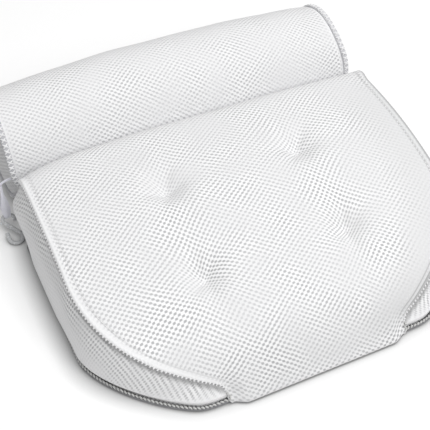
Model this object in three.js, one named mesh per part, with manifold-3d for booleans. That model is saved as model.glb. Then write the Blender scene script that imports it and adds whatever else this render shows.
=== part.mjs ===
// Bath pillow: a wedge pad with a neck roll sewn on along a crease, standing on suction cups.
// Millimetres, +Z up, X across, +Y toward the neck roll. The cup lips stand on z = 0.
import * as THREE from 'three';
import { mergeVertices } from 'three/addons/utils/BufferGeometryUtils.js';
import Module from 'manifold-3d';

const wasm = await Module();
wasm.setup();

// Cloth and clearances
const gap = 0.3; // clearance between neighbouring pieces
const cloth = 2.4; // thickness of the spacer mesh panels

// Pad, seen from above
const baseHalfWidth = 182.6; // base binding, axis of the cord
const baseFront = -190.1; // base binding along the front edge
const baseBack = 56; // base binding along the back edge
const baseSideEnd = -95; // where the straight side turns into the front corner
const baseRearRadius = 12; // base rear corners
const baseRearTurn = Math.PI / 3; // how far round that corner the side panel reaches
const rearArcShare = 0.12; // last part of the side outline, which goes round that corner
const frontHalfLength = 85; // straight front edge between the two side panels
const cornerPull = 0.36; // fullness of the base front corners
const seamInset = 7.4; // top seam inside the base along the side
const seamTipInset = 6.1; // tip of the top seam behind the front edge
const seamSideEnd = -66; // where the top seam starts to turn the corner
const seamTipOut = 3; // the seam leaves its tip this far outward
const seamTipBack = 14; // and this far back
const seamSideOut = 1.5; // it swings this far outside the straight side
const seamSideAhead = 34; // at this distance behind the tip
const seamRearSetback = 2.4; // end of the top seam ahead of the crease
const seamRearStart = 54; // where the top seam starts to draw in toward the crease
const seamRearDraw = 8.2; // how far it draws in
const coverSeat = 1.2; // front edge of the top cover behind the binding's axis
const fillSetback = 19; // the wadding starts this far behind the front edge
const backLowInset = 10.6; // back panel inside the base at its foot
const backHighInset = 6.8; // and inside the end of the top seam at its head

// Pad, heights
const crestHeight = 90; // highest line of the pad
const crestY = 30; // where that line lies
const frontRise = 0.75; // how steeply the front slope starts
const seamDrop = 7; // top seam below the crown of the pad
const seamDropFull = -150; // the seam lies that far below the crown from here to the back
const gussetBulge = 4; // side panels swell by this
const gussetTall = 80; // height of side panel that swells by the full bulge
const panelUnder = 1.8; // base panel above the floor
const panelThick = 2.2; // thickness of the base panel

// Seam cords
const bindingRadius = 2.4;
const bindingHeight = 3.2; // axis of the base binding above the floor
const pipingRadius = 2.8; // rolled lip along the top seam
const foldCordRadius = 1.9;
const rollPipingRadius = 2.4;

// Sewn tufts
const tuftRear = -13; // the two rows
const tuftFront = -101;
const tuftRearX = 65; // either side of the middle
const tuftFrontX = 69;
const tuftDepth = 11;
const tuftSpread = 15;
const tuftRow = 11; // points of the cover this far ahead of and behind a tuft
const tieRadius = 0.8;
const tieHole = 1.1;
const stitchHalfLength = 2; // stitch that shows in the tuft
const stitchHalfWidth = 1;
const stitchHeight = 1;
const stitchLift = 1.6; // stitch above the lowest point of the tuft
const knotRadius = 2.5;
const knotHeight = 1;

// Neck roll and the crease it folds about
const creaseY = 79.4;
const creaseHeight = 66;
const creaseInset = 10; // ends of the fold cord inside the ends of the top seams
const rollRadius = 56; // at the middle
const rollTaper = 5.5; // smaller by this at the ends
const rollFloor = 2.8; // lowest line of the roll above the floor
const rollHalfLength = 181.5; // outside of the end piping
const capDome = 1.2; // the end discs swell by this

// Suction cups
const cupRadius = 22;
const cupFoot = 0.8; // width of the flat ring that the cup stands on
const cupLip = 1.2;
const cupHollow = 5;
const cupShoulder = 9.5;
const shoulderRadius = 7.5;
const neckRadius = 4;
const headRadius = 6.5;
const headHeight = 2.6;
const headChamfer = 1.2;
const eyeletRadius = 9;
const eyeletHeight = 1.4;
const washerRadius = 10;
const washerHeight = 1.4;
const recessMargin = 10; // drawn-in place round a cup, beyond the cup
const recessTopMargin = 1.5; // its flat top, beyond the eyelet
const recessHem = 2; // flat hem round it
const padCupRearInset = 57.6; // rear cups of the pad inside the base binding
const padCupRearRoom = 1.3; // base cloth between the rear recess and the back binding
const padCupFrontInset = 70.6; // front cups inside it
const padCupFrontY = -118;
const rollCupInset = 71.5; // cups of the roll in from its ends

// Hanging loop and hook
const loopBehind = 9.4; // ribbon behind the crease
const loopBesideBase = 6.9; // ribbon out from the side of the base, so that the hook clears the binding
const ribbonWidth = 5;
const ribbonThick = 0.8;
const ribbonDrop = 13; // ribbon's upper end below the middle of the roll
const ribbonSewn = 8; // its two legs lie together for this length
const loopSlack = 1.3; // room round the hook wire inside the loop
const tabHeight = 8;
const tabThick = 1.6;
const hookWire = 1.4;
const hookHigh = 9; // hook wire in the ribbon loop, above the floor
const hookLow = 1.7; // hook wire at its bowl
const hookTurn = 6; // radius of both ends of the hook
const hookReach = 26; // from the loop to the centre of the bowl
const hookTip = 6.5; // straight end of the bowl

// Steps of the curved faces
const cordSides = 6;
const cupSteps = 16;
const rollSteps = 24;
const ringSteps = 24;

const group = new THREE.Group();

const white = { color: 0xeeeff0, roughness: 0.95, metalness: 0 };
const whiteEdge = { color: 0xf3f3f4, roughness: 0.9, metalness: 0 };
const wadding = { color: 0xf6f5f1, roughness: 1, metalness: 0 };
const clearVinyl = { color: 0xdfe6e9, roughness: 0.2, metalness: 0 };
const clearPlastic = { color: 0xd4d7d8, roughness: 0.25, metalness: 0 };
const satin = { color: 0xe8e7f1, roughness: 0.5, metalness: 0 };
const thread = { color: 0xf4f4f4, roughness: 0.8, metalness: 0 };

function place(name, geometry, finish) {
  geometry.computeVertexNormals();
  const mesh = new THREE.Mesh(geometry, new THREE.MeshStandardMaterial(finish));
  mesh.name = name;
  group.add(mesh);
}

// Solids from faces
function geometryOf(points, faces) {
  const geometry = new THREE.BufferGeometry();
  geometry.setAttribute('position', new THREE.Float32BufferAttribute(points.flatMap((p) => p.toArray()), 3));
  geometry.setIndex(faces.flat());
  return geometry;
}

function solidOf(geometry) {
  const plain = geometry.clone();
  plain.deleteAttribute('normal');
  plain.deleteAttribute('uv');
  const welded = mergeVertices(plain, 1e-4);
  const vertProperties = new Float32Array(welded.attributes.position.array);
  const triVerts = new Uint32Array(welded.index.array);
  return new wasm.Manifold(new wasm.Mesh({ numProp: 3, vertProperties, triVerts }));
}

function geometryFrom(solid) {
  const mesh = solid.getMesh();
  const geometry = new THREE.BufferGeometry();
  geometry.setAttribute('position', new THREE.BufferAttribute(new Float32Array(mesh.vertProperties), 3));
  geometry.setIndex(new THREE.BufferAttribute(new Uint32Array(mesh.triVerts), 1));
  return geometry;
}

// Outward directions at the corners of a grid of points
function gridNormals(grid, wraps) {
  const rows = grid.length;
  const columns = grid[0].length;
  const normals = grid.map((row) => row.map(() => new THREE.Vector3()));
  const spans = wraps ? columns : columns - 1;
  for (let i = 0; i < rows - 1; i += 1) {
    for (let j = 0; j < spans; j += 1) {
      const k = (j + 1) % columns;
      const across = grid[i + 1][k].clone().sub(grid[i][j]);
      const along = grid[i][k].clone().sub(grid[i + 1][j]);
      const face = across.cross(along);
      for (const normal of [normals[i][j], normals[i + 1][j], normals[i][k], normals[i + 1][k]]) {
        normal.add(face);
      }
    }
  }
  normals.forEach((row) => row.forEach((normal) => normal.normalize()));
  return normals;
}

function inside(grid, depth, wraps) {
  const normals = gridNormals(grid, wraps);
  return grid.map((row, i) => row.map((point, j) => point.clone().addScaledVector(normals[i][j], -depth)));
}

// A cloth panel between a grid of points on its outer face and the same grid on its inner face
function panel(grid, innerGrid, wraps) {
  const rows = grid.length;
  const columns = grid[0].length;
  const spans = wraps ? columns : columns - 1;
  const points = [...grid.flat(), ...innerGrid.flat()];
  const outer = (i, j) => i * columns + (j % columns);
  const inner = (i, j) => rows * columns + outer(i, j);
  const faces = [];
  const quad = (a, b, c, d) => faces.push([a, b, c], [a, c, d]);
  for (let i = 0; i < rows - 1; i += 1) {
    for (let j = 0; j < spans; j += 1) {
      quad(outer(i, j), outer(i + 1, j), outer(i + 1, j + 1), outer(i, j + 1));
      quad(inner(i, j), inner(i, j + 1), inner(i + 1, j + 1), inner(i + 1, j));
    }
  }
  for (let j = 0; j < spans; j += 1) {
    const last = rows - 1;
    quad(outer(0, j), outer(0, j + 1), inner(0, j + 1), inner(0, j));
    quad(outer(last, j + 1), outer(last, j), inner(last, j), inner(last, j + 1));
  }
  if (!wraps) {
    for (let i = 0; i < rows - 1; i += 1) {
      const last = columns - 1;
      quad(outer(i + 1, 0), outer(i, 0), inner(i, 0), inner(i + 1, 0));
      quad(outer(i, last), outer(i + 1, last), inner(i + 1, last), inner(i, last));
    }
  }
  return geometryOf(points, faces);
}

// A filled body through a row of rings, closed by a fan at each end
function loft(rings) {
  const count = rings[0].length;
  const points = rings.flat();
  const faces = [];
  for (let i = 0; i < rings.length - 1; i += 1) {
    for (let j = 0; j < count; j += 1) {
      const a = i * count + j;
      const b = i * count + ((j + 1) % count);
      faces.push([a, a + count, b + count], [a, b + count, b]);
    }
  }
  for (const end of [0, rings.length - 1]) {
    const centre = new THREE.Vector3();
    rings[end].forEach((point) => centre.addScaledVector(point, 1 / count));
    points.push(centre);
    for (let j = 0; j < count; j += 1) {
      const a = end * count + j;
      const b = end * count + ((j + 1) % count);
      faces.push(end === 0 ? [points.length - 1, a, b] : [points.length - 1, b, a]);
    }
  }
  return geometryOf(points, faces);
}

// A round cord along a row of points, as rings square to the path
function cordRings(path, radius, closed) {
  const count = path.length;
  return path.map((point, i) => {
    const before = path[closed ? (i + count - 1) % count : Math.max(i - 1, 0)];
    const after = path[closed ? (i + 1) % count : Math.min(i + 1, count - 1)];
    const along = after.clone().sub(before).normalize();
    const side = new THREE.Vector3(0, 0, 1).cross(along).normalize();
    const up = along.clone().cross(side);
    return Array.from({ length: cordSides }, (unused, k) => {
      const turn = -2 * Math.PI * k / cordSides;
      const out = side.clone().multiplyScalar(Math.cos(turn)).addScaledVector(up, Math.sin(turn));
      return point.clone().addScaledVector(out, radius);
    });
  });
}

function closedCord(path, radius) {
  const rings = cordRings(path, radius, true);
  const faces = [];
  for (let i = 0; i < rings.length; i += 1) {
    const next = (i + 1) % rings.length;
    for (let j = 0; j < cordSides; j += 1) {
      const k = (j + 1) % cordSides;
      const [a, b] = [i * cordSides + j, i * cordSides + k];
      const [c, d] = [next * cordSides + k, next * cordSides + j];
      faces.push([a, d, c], [a, c, b]);
    }
  }
  return geometryOf(rings.flat(), faces);
}

// A turned body about a vertical axis, from points of radius and height
function turned(profile, steps, x = 0, y = 0) {
  const geometry = new THREE.LatheGeometry(profile.map(([r, z]) => new THREE.Vector2(r, z)), steps);
  geometry.rotateX(Math.PI / 2);
  geometry.translate(x, y, 0);
  return geometry;
}

function ringProfile(inner, outer, low, high) {
  return [[inner, low], [outer, low], [outer, high], [inner, high], [inner, low]];
}

function rod(radius, low, high, x, y) {
  return turned([[0, low], [radius, low], [radius, high], [0, high]], cupSteps, x, y);
}

// Pad outlines from above. Each runs from the front corner tip (0), round the corner (1), to the back (2).
function bezier(start, startPull, endPull, end, t) {
  const s = 1 - t;
  return [0, 1].map((k) => {
    return s ** 3 * start[k] + 3 * s * s * t * startPull[k] + 3 * s * t * t * endPull[k] + t ** 3 * end[k];
  });
}

const seamHalfWidth = baseHalfWidth - seamInset;
const seamFront = baseFront + seamTipInset;
const seamRear = creaseY - seamRearSetback;

function seamPlan(step) {
  if (step <= 1) {
    const tip = [frontHalfLength, seamFront];
    const tipPull = [frontHalfLength + seamTipOut, seamFront + seamTipBack];
    const sidePull = [seamHalfWidth + seamSideOut, seamFront + seamSideAhead];
    return bezier(tip, tipPull, sidePull, [seamHalfWidth, seamSideEnd], step);
  }
  const y = seamSideEnd + (step - 1) * (seamRear - seamSideEnd);
  const draw = Math.max(0, (y - seamRearStart) / (seamRear - seamRearStart));
  return [seamHalfWidth - seamRearDraw * draw ** 2, y];
}

function basePlan(step) {
  if (step <= 1) {
    const tipPull = [frontHalfLength + cornerPull * (baseHalfWidth - frontHalfLength), baseFront];
    const sidePull = [baseHalfWidth, baseSideEnd + cornerPull * (baseFront - baseSideEnd)];
    return bezier([frontHalfLength, baseFront], tipPull, sidePull, [baseHalfWidth, baseSideEnd], step);
  }
  const straight = (step - 1) / (1 - rearArcShare);
  const arcStart = baseBack - baseRearRadius;
  if (straight <= 1) {
    return [baseHalfWidth, baseSideEnd + straight * (arcStart - baseSideEnd)];
  }
  const turn = baseRearTurn * (step - 2 + rearArcShare) / rearArcShare;
  const inner = baseHalfWidth - baseRearRadius;
  return [inner + baseRearRadius * Math.cos(turn), arcStart + baseRearRadius * Math.sin(turn)];
}

// Outward direction of an outline at a step
function outwardAt(plan, step) {
  const [x0, y0] = plan(Math.max(0, step - 0.01));
  const [x1, y1] = plan(Math.min(2, step + 0.01));
  const length = Math.hypot(x1 - x0, y1 - y0);
  return [(y1 - y0) / length, (x0 - x1) / length];
}

function shifted(plan, distance) {
  return (step) => {
    const [x, y] = plan(step);
    const [nx, ny] = outwardAt(plan, step);
    return [x + nx * distance, y + ny * distance];
  };
}

function stepAtY(plan, y) {
  let low = 0;
  let high = 2;
  for (let k = 0; k < 40; k += 1) {
    const middle = (low + high) / 2;
    if (plan(middle)[1] < y) {
      low = middle;
    } else {
      high = middle;
    }
  }
  return (low + high) / 2;
}

// Heights of the pad
const coverFront = baseFront + coverSeat;

function crownHeight(y) {
  if (y > crestY) {
    const back = (y - crestY) / (creaseY - crestY);
    return crestHeight - (crestHeight - creaseHeight) * back ** 4;
  }
  const run = Math.max(0, (y - baseFront) / (crestY - baseFront));
  return bindingHeight + (crestHeight - bindingHeight) * (1 - (1 - run) ** 2) ** frontRise;
}

function seamHeight(y) {
  const front = Math.min(1, Math.max(0, (y - coverFront) / (seamDropFull - coverFront)));
  return crownHeight(y) - seamDrop * front;
}

function seamPoint(step) {
  const [x, y] = seamPlan(step);
  return new THREE.Vector3(x, y, seamHeight(y));
}

// Height that a cord takes up below its axis where the seam climbs
function cordDrop(step, distance) {
  const climb = seamPoint(Math.min(2, step + 0.01)).sub(seamPoint(Math.max(0, step - 0.01)));
  return distance * climb.length() / Math.hypot(climb.x, climb.y);
}

const tufts = [];
for (const [x, y] of [[tuftRearX, tuftRear], [tuftFrontX, tuftFront]]) {
  tufts.push([-x, y], [x, y]);
}

function padHeight(x, y, share) {
  const crown = crownHeight(y);
  const height = crown - (crown - seamHeight(y) - 1) * Math.abs(share) ** 3;
  return tufts.reduce((z, [tx, ty]) => {
    const away = Math.hypot(x - tx, y - ty) / tuftSpread;
    return z - tuftDepth * Math.exp(-away * away);
  }, height);
}

// Top cover
const coverPlan = shifted(seamPlan, -pipingRadius - 2 * gap);
const coverFrontHalf = frontHalfLength - pipingRadius - 2 * gap;
const coverBack = creaseY - foldCordRadius - 2 * gap;

// Rows of points across the cover, closest where it bends most
function between(start, end, shares) {
  return shares.map((share) => start + share * (end - start));
}

const coverRows = [
  ...between(coverFront, tuftFront - tuftRow, [0, 0.065, 0.14, 0.24, 0.41, 0.6, 0.8, 1]),
  tuftFront,
  ...between(tuftFront + tuftRow, tuftRear - tuftRow, [0, 0.27, 0.58, 0.82, 1]),
  tuftRear,
  ...between(tuftRear + tuftRow, coverBack, [0, 0.2, 0.43, 0.64, 0.79, 0.92, 1]),
];
const sharesIn = [0.14, 0.26]; // columns inside the tufts, as shares of the half width
const sharesOut = [0.5, 0.64, 0.8, 0.92, 1]; // columns outside them

function coverHalfWidth(y) {
  return Math.max(coverFrontHalf, coverPlan(stepAtY(coverPlan, y))[0]);
}

const tuftRearShare = tuftRearX / coverHalfWidth(tuftRear);
const tuftFrontShare = tuftFrontX / coverHalfWidth(tuftFront);

function coverRow(y) {
  const halfWidth = coverHalfWidth(y);
  const toFront = Math.min(1, Math.max(0, (tuftRear - y) / (tuftRear - tuftFront)));
  const tuftShare = tuftRearShare + (tuftFrontShare - tuftRearShare) * toFront;
  const halfShares = [...sharesIn, tuftShare, ...sharesOut];
  const shares = [...halfShares.map((share) => -share).reverse(), 0, ...halfShares];
  return shares.map((share) => {
    const x = share * halfWidth;
    return new THREE.Vector3(x, y, padHeight(x, y, share));
  });
}

const coverGrid = coverRows.map(coverRow).reverse();
let topCover = solidOf(panel(coverGrid, inside(coverGrid, cloth, false), false));

// Side panels
const gussetLow = bindingHeight + bindingRadius + gap;
const clothMiddle = cloth / 2 - gap;
const gussetLevels = [0, 0.25, 0.5, 0.75, 1];
const gussetSteps = coverRows.filter((y) => y >= seamFront).map((y) => stepAtY(seamPlan, y));

function gussetPoint(step, level, depth) {
  const [lowX, lowY] = shifted(basePlan, clothMiddle)(step);
  const [highX, highY] = shifted(seamPlan, clothMiddle)(step);
  const high = seamPoint(step).z - cordDrop(step, pipingRadius + gap);
  const [nx, ny] = outwardAt(basePlan, step);
  const rear = Math.max(0, step - 1);
  const swell = gussetBulge * Math.min(1, (high - gussetLow) / gussetTall) * (1 - rear ** 6);
  const out = swell * 4 * level * (1 - level) - depth;
  const x = lowX + (highX - lowX) * level + nx * out;
  const y = lowY + (highY - lowY) * level + ny * out;
  return new THREE.Vector3(x, y, gussetLow + (high - gussetLow) * level);
}

function mirrored(point) {
  return new THREE.Vector3(-point.x, point.y, point.z);
}

function gussetGrid(depth) {
  return gussetSteps.map((step) => gussetLevels.map((level) => gussetPoint(step, level, depth)));
}

function mirroredGrid(grid) {
  return grid.map((row) => row.map(mirrored)).reverse();
}

place('side_panel_right', panel(gussetGrid(0), gussetGrid(cloth), false), white);
place('side_panel_left', panel(mirroredGrid(gussetGrid(0)), mirroredGrid(gussetGrid(cloth)), false), white);

// Rolled lips along the top seams
const lipPath = gussetSteps.map((step) => seamPoint(step));
place('top_seam_lip_right', loft(cordRings(lipPath, pipingRadius, false)), whiteEdge);
const leftLipPath = lipPath.map(mirrored).reverse();
place('top_seam_lip_left', loft(cordRings(leftLipPath, pipingRadius, false)), whiteEdge);

// Base binding, all the way round
const bindingSteps = [];
for (let k = 0; k <= 8; k += 1) {
  bindingSteps.push(k / 8);
}
bindingSteps.push(1.3, 1.6, 2 - rearArcShare, 2 - rearArcShare / 2, 2);
const bindingSide = bindingSteps.map((step) => {
  const [x, y] = basePlan(step);
  return new THREE.Vector3(x, y, bindingHeight);
});
const rearCorner = new THREE.Vector3(baseHalfWidth - baseRearRadius, baseBack, bindingHeight);
const bindingPath = [
  ...bindingSide, rearCorner, mirrored(rearCorner), ...bindingSide.map(mirrored).reverse(),
];
place('base_binding', closedCord(bindingPath, bindingRadius), whiteEdge);

// Back panel under the crease
const backLevels = [0, 0.5, 1];
const backShares = [1, 0, -1];
const backLowHalf = baseHalfWidth - backLowInset;
const backHighHalf = seamHalfWidth - seamRearDraw - backHighInset;
const backTop = creaseHeight - foldCordRadius - gap;

function backPanelY(z) {
  const level = (z - gussetLow) / (backTop - gussetLow);
  return baseBack + clothMiddle + (creaseY - clothMiddle - baseBack) * level;
}

const backGrid = backShares.map((share) => backLevels.map((level) => {
  const half = backLowHalf + (backHighHalf - backLowHalf) * level;
  const z = gussetLow + (backTop - gussetLow) * level;
  return new THREE.Vector3(share * half, backPanelY(z), z);
}));
place('back_panel', panel(backGrid, inside(backGrid, cloth, false), false), white);

// Suction cups: cup, eyelet under the cloth, washer over it
const eyeletLow = cupShoulder + gap;
const recessUnder = eyeletLow + eyeletHeight + gap; // underside of the cloth at the cup
const recessOver = recessUnder + panelThick;
const panelOver = panelUnder + panelThick;
const washerLow = recessOver + gap;
const headLow = washerLow + washerHeight + gap;
const headTop = headLow + headHeight;
const neckHole = neckRadius + gap;
const recessRim = cupRadius + recessMargin;
const recessTop = eyeletRadius + recessTopMargin;
const hollowRadius = cupRadius - cupFoot;

const cupProfile = [
  ...[0, 0.4, 0.75, 1].map((share) => [share * hollowRadius, cupHollow * (1 - share ** 2)]),
  [cupRadius, 0],
  ...[0, 0.35, 0.7, 1].map((share) => [
    cupRadius + (shoulderRadius - cupRadius) * share,
    cupLip + (cupShoulder - cupLip) * share ** 1.5,
  ]),
  [neckRadius, cupShoulder], [neckRadius, headLow],
  [headRadius, headLow], [headRadius - headChamfer, headTop], [0, headTop],
];

function cupSet(name, x, y) {
  place(`suction_cup_${name}`, turned(cupProfile, cupSteps, x, y), clearVinyl);
  const eyelet = ringProfile(neckHole, eyeletRadius, eyeletLow, eyeletLow + eyeletHeight);
  place(`cup_eyelet_${name}`, turned(eyelet, cupSteps, x, y), clearPlastic);
  const washer = ringProfile(neckHole, washerRadius, washerLow, washerLow + washerHeight);
  place(`cup_washer_${name}`, turned(washer, cupSteps, x, y), clearPlastic);
}

// The cloth drawn in round a cup
function recessCloth(x, y) {
  const hem = recessRim + recessHem;
  const outline = [
    [neckHole, recessUnder], [recessTop, recessUnder], [recessRim, panelUnder], [hem, panelUnder],
    [hem, panelOver], [recessRim + gap, panelOver], [recessTop + gap, recessOver], [neckHole, recessOver],
    [neckHole, recessUnder],
  ];
  return solidOf(turned(outline, cupSteps, x, y));
}

// The space under that cloth, up to a height above its underside
function recessRoom(lift, x, y) {
  const wider = lift / 2;
  const outline = [
    [0, -panelUnder], [recessRim + wider, -panelUnder], [recessRim + wider, panelUnder + lift],
    [recessTop + wider, recessUnder + lift], [0, recessUnder + lift],
  ];
  return solidOf(turned(outline, cupSteps, x, y));
}

function stemRoom(x, y) {
  const wide = washerRadius + gap;
  const mid = washerLow + washerHeight + gap;
  const outline = [
    [0, recessUnder], [wide, recessUnder], [wide, mid], [headRadius + gap, mid],
    [headRadius + gap, headTop + gap], [0, headTop + gap],
  ];
  return solidOf(turned(outline, cupSteps, x, y));
}

const padCupRearY = baseBack - bindingRadius - padCupRearRoom - recessRim - recessHem;
const padCupRearX = baseHalfWidth - padCupRearInset;
const padCupFrontX = baseHalfWidth - padCupFrontInset;
const padCups = [
  ['pad_rear_left', -padCupRearX, padCupRearY],
  ['pad_rear_right', padCupRearX, padCupRearY],
  ['pad_front_left', -padCupFrontX, padCupFrontY],
  ['pad_front_right', padCupFrontX, padCupFrontY],
];
padCups.forEach(([name, x, y]) => cupSet(name, x, y));

// Base panel with its recesses
const panelPlan = shifted(basePlan, -bindingRadius - gap);
const panelHalf = bindingSteps.map((step) => panelPlan(step));
const panelBack = baseBack - bindingRadius - gap;
panelHalf.push([baseHalfWidth - baseRearRadius, panelBack]);
const panelOutline = [...panelHalf, ...panelHalf.map(([x, y]) => [-x, y]).reverse()];
const panelShape = new THREE.Shape(panelOutline.map(([x, y]) => new THREE.Vector2(x, y)));
const slab = new THREE.ExtrudeGeometry(panelShape, { depth: panelThick, bevelEnabled: false });
slab.translate(0, 0, panelUnder);
let basePanel = solidOf(slab);
for (const [, x, y] of padCups) {
  basePanel = basePanel.subtract(solidOf(rod(recessRim + recessHem / 2, -panelOver, 2 * panelOver, x, y)));
  basePanel = basePanel.add(recessCloth(x, y));
}

// Pad filling: one ring of points for each row of the cover, kept in front of the back panel
const fillTop = inside(coverGrid, cloth + gap, false).reverse();
const fillFloor = panelOver + gap;
const fillSideRoom = 4 * gap; // the wadding draws away from the side panels
const fillFootRoom = 8 * gap; // and more so along their foot
const fillRings = [];
coverRows.forEach((y, i) => {
  if (y < baseFront + fillSetback) {
    return;
  }
  const step = stepAtY(seamPlan, y);
  const side = [0.75, 0.4].map((level) => gussetPoint(step, level, cloth + fillSideRoom));
  const foot = gussetPoint(step, 0, cloth + fillFootRoom);
  const floor = [1, 0.6, 0, -0.6, -1].map((share) => new THREE.Vector3(share * foot.x, foot.y, fillFloor));
  const ring = [...fillTop[i], ...side, ...floor, ...side.map(mirrored).reverse()];
  if (i === coverRows.length - 1) {
    ring.forEach((point) => point.setY(Math.min(point.y, backPanelY(point.z) - cloth - fillSideRoom)));
  }
  fillRings.push(ring);
});

let padFill = solidOf(loft(fillRings.reverse()));
for (const [, x, y] of padCups) {
  padFill = padFill.subtract(recessRoom(panelThick + gap, x, y)).subtract(stemRoom(x, y));
}

// Sewn ties through the pad at each tuft
tufts.forEach(([x, y], i) => {
  const hole = solidOf(rod(tieHole, -panelUnder, crestHeight, x, y));
  topCover = topCover.subtract(hole);
  padFill = padFill.subtract(hole);
  basePanel = basePanel.subtract(hole);
  const top = padHeight(x, y, x / coverHalfWidth(y));
  const knotTop = panelUnder - gap;
  const stitch = new THREE.BoxGeometry(2 * stitchHalfLength, 2 * stitchHalfWidth, stitchHeight);
  stitch.translate(x, y, top + stitchLift + stitchHeight / 2);
  const knot = rod(knotRadius, knotTop - knotHeight, knotTop, x, y);
  const tie = solidOf(rod(tieRadius, knotTop - knotHeight / 2, top + stitchLift + stitchHeight / 2, x, y));
  const names = ['rear_left', 'rear_right', 'front_left', 'front_right'];
  place(`tuft_tie_${names[i]}`, geometryFrom(tie.add(solidOf(stitch)).add(solidOf(knot))), thread);
});

place('pad_top_cover', geometryFrom(topCover), white);
place('pad_base_panel', geometryFrom(basePanel), white);
place('pad_filling', geometryFrom(padFill), wadding);

// Neck roll, hanging from the crease so that its lowest line clears the floor
const rollClear = foldCordRadius + gap;
const rollTilt = Math.asin((creaseHeight - rollRadius - rollFloor) / (rollRadius + rollClear));

function rollSection(x) {
  const radius = rollRadius - rollTaper * (x / rollHalfLength) ** 2;
  const away = radius + rollClear;
  const y = creaseY + away * Math.cos(rollTilt);
  return { radius, y, z: creaseHeight - away * Math.sin(rollTilt) };
}

function rollRing(x, depth) {
  const { radius, y, z } = rollSection(x);
  return Array.from({ length: rollSteps }, (unused, k) => {
    const turn = 2 * Math.PI * k / rollSteps;
    const r = radius - depth;
    return new THREE.Vector3(x, y + r * Math.cos(turn), z + r * Math.sin(turn));
  });
}

const rollPipingX = rollHalfLength - rollPipingRadius;
const rollCoverEnd = rollPipingX - rollPipingRadius - gap;
const rollSpans = 10;
const rollRows = Array.from({ length: rollSpans + 1 }, (unused, k) => rollCoverEnd * (1 - 2 * k / rollSpans));
const rollOuter = solidOf(loft(rollRows.map((x) => rollRing(x, 0))));
const rollGrid = (depth) => rollRows.map((x) => rollRing(x, depth));
let rollCover = solidOf(panel(rollGrid(0), rollGrid(cloth), true));
const rollFillEnd = rollPipingX - cloth;
const rollFillRows = [rollFillEnd, ...rollRows.slice(1, -1), -rollFillEnd];
let rollFill = solidOf(loft(rollFillRows.map((x) => rollRing(x, cloth + gap))));
const rollCupX = rollHalfLength - rollCupInset;
const rollCupY = rollSection(rollCupX).y;
for (const [name, x] of [['roll_left', -rollCupX], ['roll_right', rollCupX]]) {
  cupSet(name, x, rollCupY);
  const room = recessRoom(panelThick / 2, x, rollCupY);
  const dimple = recessCloth(x, rollCupY).intersect(rollOuter);
  rollCover = rollCover.subtract(room).add(dimple);
  rollFill = rollFill.subtract(recessRoom(panelThick + gap, x, rollCupY)).subtract(stemRoom(x, rollCupY));
}
place('roll_cover', geometryFrom(rollCover), white);
place('roll_filling', geometryFrom(rollFill), wadding);

// Roll ends: a domed disc and the piping round it
const rollEndSection = rollSection(rollPipingX);

function turnedEnd(profile, side, steps) {
  const geometry = turned(profile, steps);
  geometry.rotateY(side * Math.PI / 2);
  geometry.translate(0, rollEndSection.y, rollEndSection.z);
  return geometry;
}

const endRadius = rollEndSection.radius;
const discRadius = endRadius - rollPipingRadius - gap;
const discIn = rollPipingX - cloth / 2;
const discOut = rollPipingX + cloth / 2;

function discBulge(radius) {
  return capDome * (1 - (radius / discRadius) ** 2);
}

const discSteps = [0, 0.6, 1].map((share) => share * discRadius);
const discProfile = [
  ...discSteps.map((radius) => [radius, discIn + discBulge(radius)]),
  ...discSteps.map((radius) => [radius, discOut + discBulge(radius)]).reverse(),
];
const pipingProfile = Array.from({ length: cordSides + 1 }, (unused, k) => {
  const turn = 2 * Math.PI * k / cordSides;
  return [endRadius + rollPipingRadius * Math.cos(turn), rollPipingX + rollPipingRadius * Math.sin(turn)];
});
for (const [name, side] of [['left', -1], ['right', 1]]) {
  place(`roll_end_${name}`, turnedEnd(discProfile, side, ringSteps), white);
  place(`roll_end_piping_${name}`, turnedEnd(pipingProfile, side, ringSteps), whiteEdge);
}

// Sewn fold line that the roll turns about
const creaseHalfLength = seamHalfWidth - seamRearDraw - creaseInset;
const foldPath = [-1, 1].map((side) => new THREE.Vector3(side * creaseHalfLength, creaseY, creaseHeight));
place('fold_seam_cord', loft(cordRings(foldPath, foldCordRadius, false)), whiteEdge);

// Hanging loop: a tab sewn to the end of the roll, the ribbon and the hook in it
const rollEnd = Math.max(rollHalfLength, discOut + capDome);
const loopBesideRoll = 2 * gap + hookWire + hookTurn;
const loopX = -Math.max(rollEnd + loopBesideRoll, baseHalfWidth + loopBesideBase);
const loopY = creaseY + loopBehind;
const ribbonRoot = rollEndSection.z - ribbonDrop;
const ribbonOut = loopX - ribbonWidth / 2;
const tabLow = ribbonRoot + ribbonThick + gap;
const tabOnDisc = Math.hypot(loopY - rollEndSection.y, tabLow + tabHeight / 2 - rollEndSection.z);
const tabIn = -discOut - discBulge(tabOnDisc) - gap;
const tab = new THREE.BoxGeometry(tabIn - ribbonOut, tabThick, tabHeight);
tab.translate((tabIn + ribbonOut) / 2, loopY, tabLow + tabHeight / 2);
place('hang_loop_tab', tab, satin);

const loopInner = hookWire + gap + loopSlack;
const loopOuter = loopInner + ribbonThick;
const loopStart = ribbonRoot - ribbonSewn;
const loopShape = new THREE.Shape();
loopShape.moveTo(-ribbonThick, loopStart);
loopShape.lineTo(-loopOuter, hookHigh);
loopShape.absarc(0, hookHigh, loopOuter, Math.PI, 2 * Math.PI, false);
loopShape.lineTo(ribbonThick, loopStart);
loopShape.absarc(0, ribbonRoot, ribbonThick, 0, Math.PI, false);
loopShape.closePath();
const loopHole = new THREE.Path();
loopHole.moveTo(0, loopStart - ribbonThick);
loopHole.lineTo(-loopInner, hookHigh);
loopHole.absarc(0, hookHigh, loopInner, Math.PI, 2 * Math.PI, false);
loopHole.closePath();
loopShape.holes.push(loopHole);
const ribbonCut = { depth: ribbonWidth, bevelEnabled: false, curveSegments: 8 };
const ribbon = new THREE.ExtrudeGeometry(loopShape, ribbonCut);
ribbon.rotateX(Math.PI / 2);
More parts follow.
